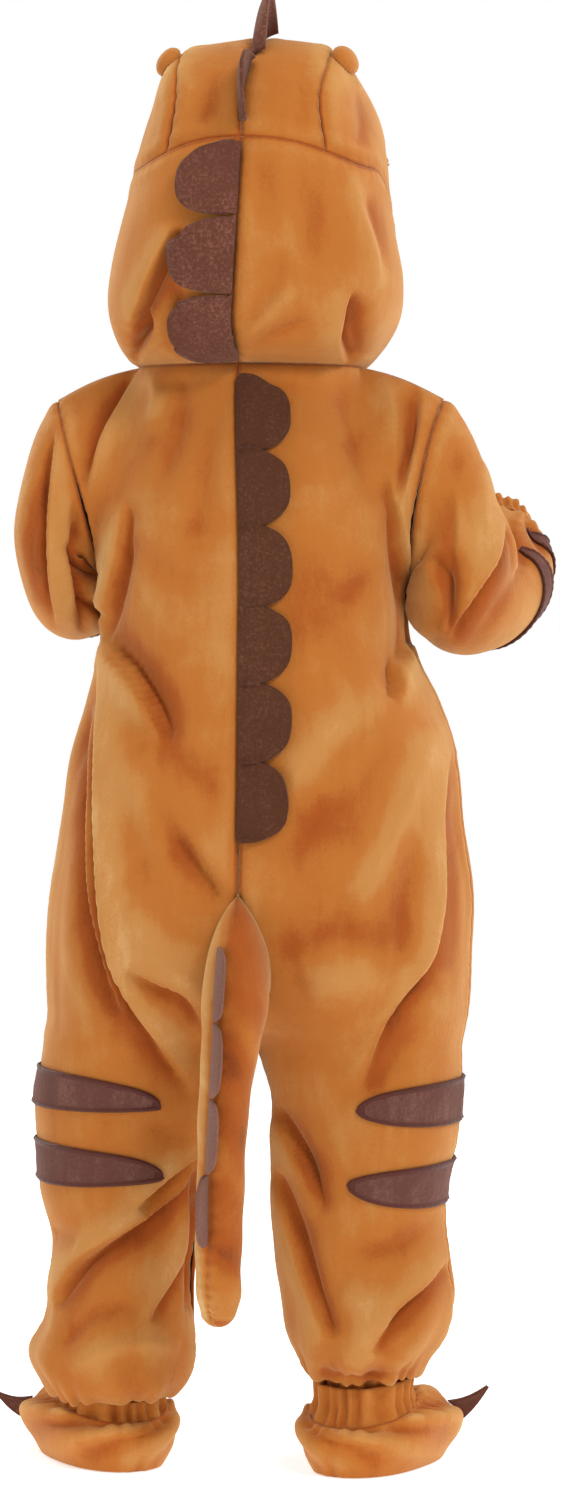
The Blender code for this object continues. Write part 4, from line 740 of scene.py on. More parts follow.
def camera_axes():
    """The photograph's camera: where it is, its right and up, and the way it looks."""
    aside = np.array([math.cos(CAMERA_TURN), math.sin(CAMERA_TURN), 0.0])
    place = np.array([CAMERA_DISTANCE * math.sin(CAMERA_TURN), -CAMERA_DISTANCE * math.cos(CAMERA_TURN), 0.0])
    place[2] = CAMERA_HEIGHT - SHOULDER_HEIGHT
    aim = np.array([0.0, 0.0, AIM_HEIGHT - SHOULDER_HEIGHT])
    place, aim = place + aside * CAMERA_SHIFT, aim + aside * CAMERA_SHIFT
    look = (aim - place) / np.linalg.norm(aim - place)
    right = np.cross(look, [0.0, 0.0, 1.0])
    right /= np.linalg.norm(right)
    return place, right, np.cross(right, look), look


EYE, EYE_RIGHT, EYE_UP, EYE_LOOK = camera_axes()


def pixels(places):
    """Where places fall in the photograph's frame, by its pixels."""
    from_eye = places - EYE
    scale = LENS / SENSOR * PHOTO_HEIGHT / (from_eye @ EYE_LOOK)
    x = PHOTO_WIDTH / 2 + (from_eye @ EYE_RIGHT) * scale
    y = PHOTO_HEIGHT / 2 - (from_eye @ EYE_UP) * scale
    return x, y


def smooth_path(path, count):
    """Places on a smooth curve through a path's points."""
    corner = namedtuple("Corner", "x y")
    row = row_at([corner(*place) for place in path], np.linspace(0.0, 1.0, count))
    return np.stack([row.x, row.y], axis=-1)


def crease_relief(crease, x, y, weight):
    """How far one crease moves the cloth at places of the photograph's frame."""
    reach = 3.2 * crease.width * MM / PIXEL
    xs, ys = zip(*crease.path)
    near = (x > min(xs) - reach) & (x < max(xs) + reach) & (y > min(ys) - reach) & (y < max(ys) + reach)
    near &= weight > 0.0
    relief = np.zeros_like(x)
    if not near.any():
        return relief
    curve = smooth_path(crease.path, 12 * len(crease.path))
    px, py = x[near], y[near]
    best = np.full(px.shape, 1e12)
    side = np.zeros_like(px)
    along = np.zeros_like(px)
    for index in range(len(curve) - 1):
        ax, ay = curve[index]
        dx, dy = curve[index + 1] - curve[index]
        share = np.clip(((px - ax) * dx + (py - ay) * dy) / (dx * dx + dy * dy), 0.0, 1.0)
        away = (px - ax - share * dx) ** 2 + (py - ay - share * dy) ** 2
        closer = away < best
        best = np.where(closer, away, best)
        cross = dx * (py - ay) - dy * (px - ax)
        side = np.where(closer, -np.sign(cross), side)
        along = np.where(closer, (index + share) / (len(curve) - 1), along)
    distance = side * np.sqrt(best) * PIXEL
    width = crease.width * MM
    fade = np.sin(math.pi * np.clip(along, 0.0, 1.0)) ** 0.6
    step = crease.step * MM * np.tanh(distance / CREASE_EDGE) * bell(distance, width)
    low = distance * math.copysign(1.0, crease.step) + CREASE_GROOVE
    step = step - 0.45 * abs(crease.step) * MM * bell(low, CREASE_GROOVE)
    blunt = np.sqrt(distance**2 + CREASE_ROUND**2) - CREASE_ROUND
    sink = crease.sink * MM * np.exp(-blunt / (0.55 * width))
    relief[near] = (STEP_DEPTH * step - SINK_DEPTH * sink) * fade * weight[near]
    return relief


def creases(places, normals):
    x, y = pixels(places)
    facing = np.sum(normals * unit(EYE - places), axis=-1)
    weights = {
        BACK: ease((facing - FACING_LOW) / (FACING_HIGH - FACING_LOW)),
        FRONT: ease((-facing - FACING_LOW) / (FACING_HIGH - FACING_LOW)),
    }
    relief = np.zeros_like(x)
    for crease in CREASES:
        relief += crease_relief(crease, x, y, weights[crease.face])
    return relief


Wave = namedtuple("Wave", "x y z phase share")
WANDER = [
    Wave(31, 17, 62, 0.4, 0.30), Wave(-47, 23, 51, 2.1, 0.26), Wave(58, -35, 37, 4.4, 0.22),
    Wave(22, 61, -44, 1.2, 0.24), Wave(83, 12, 74, 5.3, 0.16), Wave(-69, 55, 96, 3.6, 0.14),
    Wave(112, -64, 58, 0.9, 0.10), Wave(-96, -88, 121, 2.8, 0.09), Wave(140, 71, -87, 4.9, 0.06),
]


def wander(places):
    """Soft unevenness of the worn cloth, from a few long waves that bend one another."""
    bent = places + WANDER_BEND * np.sin(places[..., [1, 2, 0]] * WANDER_RATE + 1.7)
    total = np.zeros(places.shape[:-1])
    for wave in WANDER:
        angle = bent[..., 0] * wave.x + bent[..., 1] * wave.y + bent[..., 2] * wave.z + wave.phase
        total += wave.share * np.sin(angle)
    return total


def box_blur(values, half, closed):
    """The mean over a window of the grid, half its size each way."""
    across = np.pad(values, ((0, 0), (half, half)), mode="wrap" if closed else "edge")
    summed = np.cumsum(np.pad(across, ((0, 0), (1, 0))), axis=1)
    across = (summed[:, 2 * half + 1:] - summed[:, :-2 * half - 1]) / (2 * half + 1)
    down = np.pad(across, ((half, half), (0, 0)), mode="edge")
    summed = np.cumsum(np.pad(down, ((1, 0), (0, 0))), axis=0)
    return (summed[2 * half + 1:] - summed[:-2 * half - 1]) / (2 * half + 1)


def softened(plain, u, v, half):
    """The yoke with the corner under the neck's side rounded off, its edges kept."""
    smooth = plain
    for _ in range(2):
        smooth = np.stack([box_blur(smooth[..., axis], half, False) for axis in range(3)], axis=-1)
    weight = ease(u / 0.12) * ease((1 - u) / 0.12) * ease((v + 1) / 0.12) * ease((0.15 - v) / 0.3)
    return between(plain, smooth, weight[..., None])


SEAM, NECK, HEM, ELASTIC, COVERED, PLAIN = "seam", "neck", "hem", "elastic", "covered", "plain"
Edges = namedtuple("Edges", "start end first last")
NO_EDGES = Edges(PLAIN, PLAIN, PLAIN, PLAIN)


def grid_normals(places, closed, facing):
    """Unit normals of a grid of places, a row for each v and a column for each u."""
    if closed:
        ring = places[:, :-1]
        along = np.roll(ring, -1, axis=1) - np.roll(ring, 1, axis=1)
        along = np.concatenate([along, along[:, :1]], axis=1)
    else:
        along = np.gradient(places, axis=1)
    return unit(np.cross(along, np.gradient(places, axis=0)) * facing)


class Sheet:
    """A patch of a surface with its seams and folds worked in, as a grid of places and normals."""

    def __init__(self, surface, us, vs, facing, edges=NO_EDGES, closed=False, calm=1.0, extra=None, soften=0):
        self.us, self.vs, self.facing, self.closed = us, vs, facing, closed
        u, v = np.meshgrid(us, vs)
        plain = swayed(surface(u, v))
        if soften:
            plain = softened(plain, u, v, soften)
        self.plain = plain
        normals = grid_normals(plain, closed, facing)
        self.edge_lengths(plain)
        relief = calm * (creases(plain, normals) + WANDER_DEPTH * wander(plain))
        self.seam, self.work = np.zeros_like(relief), np.zeros_like(relief)
        self.hold = np.ones_like(relief)
        for kind, distance, run in zip(edges, self.distances, self.runs):
            self.work_edge(kind, distance, run)
        if extra is not None:
            self.work += extra(u, v)
        for kind, distance in zip(edges, self.distances):
            if kind == NECK:
                self.work *= 1 - bell(distance, NECK_CALM)
        relief = relief * self.hold + self.work
        if closed:
            relief[:, -1] = relief[:, 0]
        self.places = plain + normals * relief[..., None]
        self.normals = grid_normals(self.places, closed, facing)
        bridged = np.maximum(relief, -BRIDGE_DEPTH)
        for _ in range(2):
            bridged = box_blur(bridged, BRIDGE_HALF, closed)
        self.bridged = plain + normals * np.maximum(bridged, relief)[..., None]
        # Painted shading for the colour: lighter on the folds' ridges, darker in their troughs.
        painted_shading = box_blur(relief, FOLD_SHADE_FINE, False) - box_blur(relief, FOLD_SHADE_WIDE, False)
        self.painted_shading = np.clip(painted_shading / FOLD_SHADE_FULL, -1.0, 1.0)

    def work_edge(self, kind, distance, run):
        """What one edge does to the cloth near it: its groove, pillow, puckers and painted shade."""
        if kind in (SEAM, NECK, ELASTIC):
            self.hold *= 1 - (SEAM_HOLD if kind == SEAM else 1.0) * bell(distance, HOLD_WIDTH)
            if kind == SEAM:
                self.work -= SEAM_DEPTH * bell(distance, SEAM_WIDTH)
            self.work += PILLOW_RISE * bell(distance - PILLOW_PLACE, PILLOW_WIDTH)
            uneven = 2.3 * np.sin(run * 61) + 1.1 * np.sin(run * 173)
            pucker = np.sin(FULL_TURN * run / PUCKER_LENGTH + uneven) * bell(distance, PUCKER_WIDTH)
            self.work += PUCKER_DEPTH * pucker * (ease(distance / 0.003) if kind == NECK else 1.0)
            self.seam = np.maximum(self.seam, bell(distance, SEAM_SHADE))
        elif kind == COVERED:
            self.hold *= 1 - bell(distance, COVER_WIDTH, 4)
            self.seam = np.maximum(self.seam, bell(distance, SEAM_SHADE))
        elif kind == HEM:
            stitch = distance - HEM_WIDTH
            self.hold *= 1 - 0.5 * bell(distance, HEM_WIDTH)
            self.work += HEM_RISE * (1 - ease((distance - HEM_WIDTH + 0.002) / 0.003))
            self.work -= HEM_STITCH_DEPTH * bell(stitch, HEM_STITCH_WIDTH)
            self.work += PUCKER_DEPTH * bell(stitch, HOLD_WIDTH) * np.sin(run * FULL_TURN / HEM_PUCKER_LENGTH)
            self.seam = np.maximum(self.seam, 0.7 * bell(stitch, HEM_SHADE))

    def edge_lengths(self, plain):
        """Distances to each of the four edges along the cloth, and how far along each edge a place is."""
        across = np.linalg.norm(np.diff(plain, axis=1), axis=-1)
        across = np.concatenate([np.zeros((len(plain), 1)), np.cumsum(across, axis=1)], axis=1)
        down = np.linalg.norm(np.diff(plain, axis=0), axis=-1)
        down = np.concatenate([np.zeros((1, plain.shape[1])), np.cumsum(down, axis=0)], axis=0)
        self.distances = (across, across[:, -1:] - across, down, down[-1:] - down)
        self.runs = (down, down, across, across)
        self.width, self.length = float(across[:, -1].max()), float(down[-1].max())
        a, b = np.diff(plain, axis=1)[:-1], np.diff(plain, axis=0)[:, :-1]
        self.area = float(np.linalg.norm(np.cross(a, b), axis=-1).sum())

    def sample(self, u, v, stiff=False):
        """Places and normals of the worked cloth at any shares; something stiff bridges its creases."""
        u, v = spread(u, v)
        column = np.clip(np.interp(u, self.us, np.arange(len(self.us))), 0, len(self.us) - 1.000001)
        row = np.clip(np.interp(v, self.vs, np.arange(len(self.vs))), 0, len(self.vs) - 1.000001)
        c, r = column.astype(int), row.astype(int)
        fu, fv = (column - c)[..., None], (row - r)[..., None]
        found = []
        for values in (self.bridged if stiff else self.places, self.normals):
            upper = between(values[r, c], values[r, c + 1], fu)
            lower = between(values[r + 1, c], values[r + 1, c + 1], fu)
            found.append(between(upper, lower, fv))
        return found[0], unit(found[1])


# Materials


class Socket:
    """A shader value that takes arithmetic, so a colour's recipe reads as a formula."""

    def __init__(self, tree, output):
        self.tree, self.output = tree, output

    def maths(self, operation, *others):
        return node(self.tree, "ShaderNodeMath", {"operation": operation}, [self, *others])

    def __add__(self, other):
        return self.maths("ADD", other)

    def __radd__(self, other):
        return self.maths("ADD", other)

    def __sub__(self, other):
        return self.maths("SUBTRACT", other)

    def __mul__(self, other):
        return self.maths("MULTIPLY", other)

    def clamped(self):
        return node(self.tree, "ShaderNodeClamp", {}, [self, 0.0, 1.0])


def node(tree, kind, settings, inputs, output=0):
    """One shader node with its settings and inputs, by place or by name."""
    made = tree.nodes.new(kind)
    for name, value in settings.items():
        setattr(made, name, value)
    pairs = inputs.items() if isinstance(inputs, dict) else enumerate(inputs)
    for key, value in pairs:
        if isinstance(value, Socket):
            tree.links.new(value.output, made.inputs[key])
        else:
            made.inputs[key].default_value = value
    return Socket(tree, made.outputs[output])


def ramp(tree, factor, stops):
    """A colour ramp over a factor, from pairs of place and linear colour."""
    made = tree.nodes.new("ShaderNodeValToRGB")
    made.color_ramp.interpolation = "EASE"
    while len(made.color_ramp.elements) < len(stops):
        made.color_ramp.elements.new(0.5)
    for element, (place, colour) in zip(made.color_ramp.elements, stops):
        element.position = place
        element.color = (*colour, 1.0)
    tree.links.new(factor.output, made.inputs[0])
    return Socket(tree, made.outputs[0])


def noise(tree, where, scale, detail=2.0, rough=0.5, warp=0.0):
    settings = {"noise_dimensions": "3D"}
    inputs = {"Vector": where, "Scale": scale, "Detail": detail, "Roughness": rough, "Distortion": warp}
    return node(tree, "ShaderNodeTexNoise", settings, inputs)


def stretched(tree, where, x, y, z):
    return node(tree, "ShaderNodeMapping", {}, {"Vector": where, "Scale": (x, y, z)})


def attribute(tree, name):
    return node(tree, "ShaderNodeAttribute", {"attribute_name": name}, [], 2)


Cloth = namedtuple("Cloth", "stops nap streak grain pile depth sheen tint rough seam")
CLOTHS = {
    "velour_tan": Cloth(
        [(0.0, (0.105, 0.018, 0.0025)), (0.28, (0.310, 0.066, 0.0060)), (0.52, (0.390, 0.122, 0.0170)),
         (0.76, (0.435, 0.186, 0.0460)), (1.0, (0.530, 0.300, 0.1120))],
        0.44, 0.24, 0.16, 1400.0, 0.0010, 0.50, (1.0, 0.72, 0.34, 1.0), 0.86, 0.34,
    ),
    "velour_brown": Cloth(
        [(0.0, (0.030, 0.010, 0.008)), (0.45, (0.100, 0.036, 0.026)), (1.0, (0.26, 0.125, 0.095))],
        0.50, 0.40, 0.40, 1500.0, 0.0008, 0.10, (1.0, 0.70, 0.56, 1.0), 0.88, 0.30,
    ),
    # One felt in three copies: the hood's and the tail's are painted lighter than the back's, as painted
    # light for the light they catch.
    "felt_hood_lit": Cloth(
        [(0.0, (0.040, 0.012, 0.007)), (0.45, (0.098, 0.031, 0.018)), (1.0, (0.30, 0.130, 0.086))],
        0.42, 0.16, 0.70, 1700.0, 0.0010, 0.16, (1.0, 0.74, 0.58, 1.0), 0.95, 0.0,
    ),
    "felt_back": Cloth(
        [(0.0, (0.028, 0.009, 0.004)), (0.45, (0.070, 0.022, 0.009)), (1.0, (0.18, 0.078, 0.045))],
        0.34, 0.14, 0.70, 1700.0, 0.0010, 0.10, (1.0, 0.72, 0.55, 1.0), 0.95, 0.0,
    ),
    "felt_tail_lit": Cloth(
        [(0.0, (0.055, 0.021, 0.014)), (0.45, (0.160, 0.070, 0.050)), (1.0, (0.32, 0.170, 0.13))],
        0.30, 0.10, 0.50, 1700.0, 0.0008, 0.10, (1.0, 0.80, 0.68, 1.0), 0.95, 0.0,
    ),
    "satin_stitch": Cloth(
        [(0.0, (0.026, 0.005, 0.003)), (0.5, (0.072, 0.016, 0.010)), (1.0, (0.14, 0.042, 0.026))],
        0.20, 0.10, 0.40, 2200.0, 0.0006, 0.10, (1.0, 0.70, 0.55, 1.0), 0.55, 0.0,
    ),
}


# The booties' cloth is the tan velour painted lighter, as painted light to make up for the light they get
# less of than the body.
FOOT_PAINTED_LIGHT = 1.13
TAN = CLOTHS["velour_tan"]
CLOTHS["velour_hood"] = TAN._replace(nap=0.32)
FOOT_LIT_STOPS = [(at, tuple(FOOT_PAINTED_LIGHT * part for part in colour)) for at, colour in TAN.stops]
CLOTHS["velour_foot_lit"] = TAN._replace(stops=FOOT_LIT_STOPS)


def cloth_material(name):
    """One cloth: its colour by nap and grain, with painted highlight on fold ridges, painted shade in fold
    troughs and along seams, a soft pile and a bright edge.
    """
    if name in bpy.data.materials:
        return bpy.data.materials[name]
    cloth = CLOTHS[name]
    made = bpy.data.materials.new(name)
    made.use_nodes = True
    tree = made.node_tree
    shader = tree.nodes["Principled BSDF"]
    where = node(tree, "ShaderNodeTexCoord", {}, [], 3)
    nap = noise(tree, where, scale=17.0, detail=3.0, rough=0.55, warp=0.8)
    down_the_pile = stretched(tree, where, 1.0, 1.0, 0.22)
    streak = noise(tree, down_the_pile, scale=95.0, detail=3.0, rough=0.6, warp=0.3)
    grain = noise(tree, where, scale=520.0, rough=0.7)
    pile = noise(tree, where, scale=cloth.pile, rough=0.6)
    painted_shading = attribute(tree, "painted_shading")
    seam = attribute(tree, "seam")
    factor = 0.52 + (nap - 0.5) * cloth.nap + (streak - 0.5) * cloth.streak + (grain - 0.5) * cloth.grain
    # Painted light and shade: painted_shading lightens fold ridges and darkens fold troughs; seam darkens
    # seams, hems, stitch lines and the edge under the placket.
    factor = (factor + painted_shading * 0.28 - seam * cloth.seam).clamped()
    tree.links.new(ramp(tree, factor, cloth.stops).output, shader.inputs["Base Color"])
    height = pile * 0.6 + grain * 0.6 + streak * 0.5
    bump = node(tree, "ShaderNodeBump", {}, {"Strength": 0.55, "Distance": cloth.depth, "Height": height})
    tree.links.new(bump.output, shader.inputs["Normal"])
    shader.inputs["Roughness"].default_value = cloth.rough
    shader.inputs["Sheen Weight"].default_value = cloth.sheen
    shader.inputs["Sheen Roughness"].default_value = 0.42
    shader.inputs["Sheen Tint"].default_value = cloth.tint
    shader.inputs["Specular IOR Level"].default_value = 0.18
    return made


# Making pieces


def grid(start, end, count):
    return np.linspace(start, end, count + 1)


def finish_piece(piece, name, cloth):
    piece.data.materials.append(cloth_material(cloth))
    piece.data.shade_smooth()
    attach(piece, "root")
    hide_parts(name)
    return piece


def mesh_piece(name, places, faces, painted_shading=None, seam=None):
    """An object made from an array of places and lists of corners, with its two shading attributes."""
    mesh = bpy.data.meshes.new(f"cloth_{name}")
    mesh.from_pydata(places.tolist(), [], faces)
    for label, values in (("painted_shading", painted_shading), ("seam", seam)):
        stored = mesh.attributes.new(label, "FLOAT", "POINT")
        stored.data.foreach_set("value", np.zeros(len(places)) if values is None else values)
    piece = bpy.data.objects.new(f"cloth_{name}", mesh)
    scene.collection.objects.link(piece)
    return piece


def grid_faces(rows, columns, closed, facing):
    """Quads over a grid of rows and columns, their corners turning outwards."""
    across = columns if closed else columns - 1
    row, column = np.meshgrid(np.arange(rows - 1), np.arange(across), indexing="ij")
    here = (row * columns + column).ravel()
    beside = (row * columns + (column + 1) % columns).ravel()
    faces = np.stack([here, beside, beside + columns, here + columns], axis=-1)
    return (faces if facing > 0 else faces[:, ::-1]).tolist()


def grid_piece(name, places, facing, closed=False, painted_shading=None, seam=None):
    """An object made from a grid of places."""
    rows, columns = places.shape[:2]
    shading = [None if values is None else values.ravel() for values in (painted_shading, seam)]
    return mesh_piece(name, places.reshape(-1, 3), grid_faces(rows, columns, closed, facing), *shading)


def grid_area(places):
    a, b = np.diff(places, axis=1)[:-1], np.diff(places, axis=0)[:, :-1]
    return float(np.linalg.norm(np.cross(a, b), axis=-1).sum())


def thicken(piece, thickness, offset=-1.0):
    wall = piece.modifiers.new("wall", "SOLIDIFY")
    wall.thickness = thickness
    wall.offset = offset
    wall.use_even_offset = False


def add_sheet(name, sheet, cloth, fullness=1.0):
    """A sheet's outer side and the cut piece's thickness behind it."""
    last = -1 if sheet.closed else None
    places, painted_shading, seam = (values[:, :last] for values in (sheet.places, sheet.painted_shading, sheet.seam))
    piece = grid_piece(name, places, sheet.facing, sheet.closed, painted_shading, seam)
    thicken(piece, PLUSH)
    finish_piece(piece, name, cloth)
    flat = (max(sheet.width * fullness, LEAST_SIDE), max(sheet.length, LEAST_SIDE))
    min(sheet.area * fullness, flat[0] * flat[1])


LEAST_SIDE = 0.0101


# The all-in-one


panels = {}


def ankle_gathers(side, face, across, down):
    """Gathers that the ankle elastic draws into a leg, deep at the hem and fading up the calf."""
    turned = across * 9 + 0.35 * np.sin(across * 17 + side) + 2.2 * down * face
    depth = ANKLE_DEPTH * (0.65 + 0.35 * np.sin(across * 11 + face)) * ease((down - 0.86) / 0.11)
    soft_turned = across * 4.3 + 3.0 * down + 0.2 * face
    soft = ANKLE_SOFT_DEPTH * ease((down - 0.76) / 0.1) * np.cos(FULL_TURN * soft_turned)
    return depth * np.cos(FULL_TURN * turned) + soft


def add_body():
    downs = np.concatenate([grid(-1, 0, 50)[:-1], grid(0, 1, 206)])
    for side in (LEFT, RIGHT):
        for face in (BACK, FRONT):
            edges = Edges(SEAM if face == BACK else COVERED, SEAM, NECK, ELASTIC)
            surface, gathers = partial(body_point, side, face), partial(ankle_gathers, side, face)
            panel = Sheet(surface, grid(0, 1, 88), downs, side * face, edges, extra=gathers, soften=9)
            panels[side, face] = panel
            add_sheet(f"{FACE_NAMES[face]}_{SIDE_NAMES[side]}", panel, "velour_tan")


def sleeve_shape(side, turn, along):
    """The slack that hangs under the arm against the trunk, more of it on the right."""
    slack = bump(SLACK_SIDE, np.minimum(turn, 1 - turn)) * bump(SLEEVE_SLACK[side], along)
    return slack + ease((along - 0.82) / 0.15) * WRIST_GATHERS.depth * gathered(WRIST_GATHERS, turn, along)


sleeves = {}


def add_sleeves():
    for side in (LEFT, RIGHT):
        name = SIDE_NAMES[side]
        edges = Edges(SEAM, SEAM, SEAM, ELASTIC)
        surface, shape = partial(sleeve_point, side), partial(sleeve_shape, side)
        sleeve = Sheet(surface, grid(0, 1, 112), grid(0, 1, 88), side, edges, closed=True, extra=shape)
        sleeves[side] = sleeve
        add_sheet(f"sleeve_{name}", sleeve, "velour_tan")
        add_cuff(f"sleeve_cuff_{name}", partial(sleeve_cuff_point, side), side)
        add_cuff(f"leg_cuff_{name}", partial(leg_cuff_point, side), side)


def cuff_ribs(turn, along):
    """Small gathers on a cuff and the channel of its elastic."""
    ribs = CUFF_RIBS.depth * gathered(CUFF_RIBS, turn) * ease(along * 4)
    return ribs - bump(CUFF_CHANNEL, along) + CUFF_END_RISE * ease(along * 2 - 1)


def add_cuff(name, surface, facing):
    cuff = Sheet(surface, grid(0, 1, 168), grid(0, 1, 14), facing, closed=True, calm=0.2, extra=cuff_ribs)
    add_sheet(name, cuff, "velour_tan", fullness=1.3)


hoods = {}


def crown_shape(out, forward):
    """The crown's two stiffened corners, where it turns from its top to its sides."""
    out = seam_placed(out, forward)
    return (bump(CROWN_CORNER, out) - bump(CROWN_MIDDLE, out)) * bump(CROWN_REACH, forward)


def crown_surface(side, out, forward):
    return crown_point(side, seam_placed(out, forward), forward)


def add_hood():
    for side in (LEFT, RIGHT):
        name = SIDE_NAMES[side]
        edges = Edges(SEAM, HEM, NECK, NECK)
        sheet = Sheet(partial(hood_point, side), grid(0, 1, 116), grid(0, 1, 76), -side, edges)
        hoods[side, "back"] = sheet
        add_sheet(f"hood_back_{name}", sheet, "velour_hood")
        parts = [("centre", grid(0, CROWN_SPLIT, 26), SEAM), ("side", grid(CROWN_SPLIT, 1, 60), HEM)]
        for part, outs, outer in parts:
            edges = Edges(SEAM, outer, NECK, HEM)
            sheet = Sheet(partial(crown_surface, side), outs, grid(0, 1, 96), -side, edges, extra=crown_shape)
            hoods[side, part] = sheet
            add_sheet(f"crown_{part}_{name}", sheet, "velour_hood")


# Felt spikes along the seams


def level_at(sheet, height):
    """The share down a sheet at which its centre seam has the given height."""
    heights = sheet.plain[:, 0, 2] + SHOULDER_HEIGHT
    order = np.argsort(heights)
    return np.interp(height, heights[order], sheet.vs[order])


def distances(path):
    """How far along a path each of its places is."""
    return np.concatenate([[0.0], np.cumsum(np.linalg.norm(np.diff(path, axis=0), axis=1))])


def half_disc(along):
    """How far a half disc reaches at shares along its straight side, 1 at its middle."""
    return (1 - np.abs(2 * along - 1) ** SPIKE_SQUARENESS) ** (1 / SPIKE_SQUARENESS)


def add_seam_spike(name, sheet, spike, cloth, turned, sink=0.0):
    """A half disc of felt caught in a seam and lying on the cloth beside it, its round edge lifting."""
    levels, shares = 44, 12
    along = 0.5 - 0.5 * np.cos(math.pi * np.linspace(0.015, 0.985, levels))
    level = level_at(sheet, between(spike.top, spike.bottom, along))
    reach = spike.reach * half_disc(along)
    across = np.zeros((levels, shares))
    share = np.linspace(0.0, 1.0, shares)
    fine = np.linspace(0.0, 0.62, 160)
    for row in range(levels):
        path, _ = sheet.sample(fine, level[row])
        across[row] = np.interp(reach[row] * share + SPIKE_ROOT, distances(path), fine)
    places, normals = sheet.sample(across, level[:, None], stiff=True)
    places = between(places, sheet.sample(across, level[:, None])[0], sink)
    rise = LIFT + SPIKE_EDGE_RISE * share[None, :] ** 2 * (1 - 0.5 * np.abs(2 * along - 1) ** 3)[:, None]
    rise = rise + SPIKE_RIPPLE * np.sin(9 * along + turned)[:, None] * share[None, :] + FELT
    piece = grid_piece(name, places + normals * rise[..., None], sheet.facing)
    thicken(piece, FELT)
    finish_piece(piece, name, cloth)
    flat = (spike.reach, spike.top - spike.bottom)
    0.9 * flat[0] * flat[1]


def add_spikes():
    sheet = panels[RIGHT, BACK]
    for number, spike in enumerate(BACK_SPIKES, 1):
        add_seam_spike(f"spike_back_{number}", sheet, spike, "felt_back", number)
    sheet = hoods[LEFT, "back"]
    for number, spike in enumerate(HOOD_SPIKES, 1):
        name, turned = f"spike_hood_{number}", number * 2.3
        add_seam_spike(name, sheet, spike, "felt_hood_lit", turned, HOOD_SPIKE_SINK)


def plate_piece(name, places, cloth, size, area_share):
    """A plate of felt that stands on its edge."""
    piece = grid_piece(name, places, 1)
    thicken(piece, FELT, 0.0)
    finish_piece(piece, name, cloth)
    flat = tuple(max(value, LEAST_SIDE) for value in size)
    area_share * flat[0] * flat[1]


def add_fins():
    """Two pointed plates of felt that stand in the crown's centre seam."""
    for number, fin in enumerate(CROWN_FINS, 1):
        share, up = np.meshgrid(np.linspace(0.01, 0.99, 36), np.linspace(0.0, 1.0, 14))
        forward = between(fin.start, fin.end, share)
        foot = swayed(crown_point(LEFT, 0.0, forward))
        ahead = swayed(crown_point(LEFT, 0.0, np.clip(forward + 0.01, 0, 1)))
        behind = swayed(crown_point(LEFT, 0.0, np.clip(forward - 0.01, 0, 1)))
        run = unit(ahead - behind)
        rise = vector(0.0, -run[..., 2], run[..., 1])
        rise = rise * np.sign(rise[..., 2:3])
        foot = foot + rise * crown_shape(0.0 * forward, forward)[..., None]
        rise[..., 1] += fin.sweep
        rise = unit(rise)
        tall = fin.height * (1 - np.abs(2 * share - 1) ** FIN_POINT) ** FIN_FULLNESS + FIN_FOOT
        places = foot + rise * (FIN_ROOT + tall * up)[..., None]
        bow = FIN_BOW * np.sin(math.pi * share) * np.sin(math.pi * up)
        places[..., 0] = foot[..., 0] + fin.lean * up**2 + bow
        size = (float(np.linalg.norm(foot[0, -1] - foot[0, 0])), fin.height + FIN_FOOT)
        plate_piece(f"spike_crown_{number}", places, "felt_hood_lit", size, 0.6)


# Stuffed pieces


def add_brows():
    """A stuffed brow on each side of the crown, beside its side seam."""
    for side in (LEFT, RIGHT):
        sheet = hoods[side, "side"]
        turns, shares = 72, 20
        share = np.linspace(1.0, 0.0, shares)[:, None]
        angle = (FULL_TURN * np.arange(turns) / turns)[None, :]
        out = BROW_OUT + BROW_HALF * share * np.cos(angle)
        forward = BROW_FORWARD + BROW_LENGTHENED * BROW_HALF * share * np.sin(angle)
        places, normals = sheet.sample(np.maximum(out, CROWN_SPLIT + 0.001), forward)
        rise = BROW_RISE * np.sqrt(np.maximum(1 - share**BROW_ROUND, 0.0))
        pucker = np.cos(BROW_PUCKERS * angle) * bump(BROW_PUCKER, 1 - share)
        top = places + normals * (BROW_LIFT + rise + pucker)[..., None]
        places = np.concatenate([top.reshape(-1, 3), places[0] + normals[0] * BROW_SEAT])
        faces = grid_faces(shares, turns, True, side) + cap_faces(shares * turns, turns, side)
        name = f"brow_{SIDE_NAMES[side]}"
        piece = mesh_piece(name, places, faces)
        finish_piece(piece, name, "velour_tan")


def cap_faces(start, count, facing):
    """One flat face over a ring of points."""
    ring = list(range(start, start + count))
    return [ring[::-1] if facing > 0 else ring]


def tail_root_ring(share, turns):
    """The oval where the tail is sewn to the seat."""
    angle = FULL_TURN * turns
    pointed = (0.5 - 0.5 * np.cos(angle)) ** 0.38
    x = 1.1 * TAIL_ROOT_HALF[0] * share * np.sin(angle) * pointed
    height = TAIL_ROOT_HEIGHT + TAIL_ROOT_HALF[1] * share * np.cos(angle)
    places = np.zeros((len(turns), 3))
    for index, (place_x, place_height) in enumerate(zip(x, height)):
        side = LEFT if place_x >= 0 else RIGHT
        panel = panels[side, BACK]
        down = level_at(panel, place_height)
        fine = np.linspace(0.0, 0.9, 240)
        row, _ = panel.sample(fine, down)
        across = np.interp(abs(place_x), np.abs(row[:, 0]), fine)
        place, normal = panel.sample(across, down)
        places[index] = place + normal * TAIL_LIFT
    return places


def tail_relief(turn, along):
    """The tail's centre seam, its root seam and the slack of its stuffing."""
    away = np.abs(turn - TAIL_SEAM_TURN)
    gap, front = np.minimum(away, 1 - away) * TAIL_ROUND, np.abs(turn - TAIL_SEAM_TURN - 0.5) * TAIL_ROUND
    pucker = bump(TAIL_PUCKER, gap) * np.sin(FULL_TURN * along * 24)
    slack = 0.0005 * np.sin(17 * along + 2 * np.sin(FULL_TURN * turn))
    slack = slack + 0.0003 * np.sin(41 * along + 4 * math.pi * turn + 1.3)
    seams = bump(TAIL_DITCH, gap) + bump(TAIL_DITCH, front)
    return pucker - seams + slack + TAIL_END_RISE * ease((along - 0.72) / 0.26)


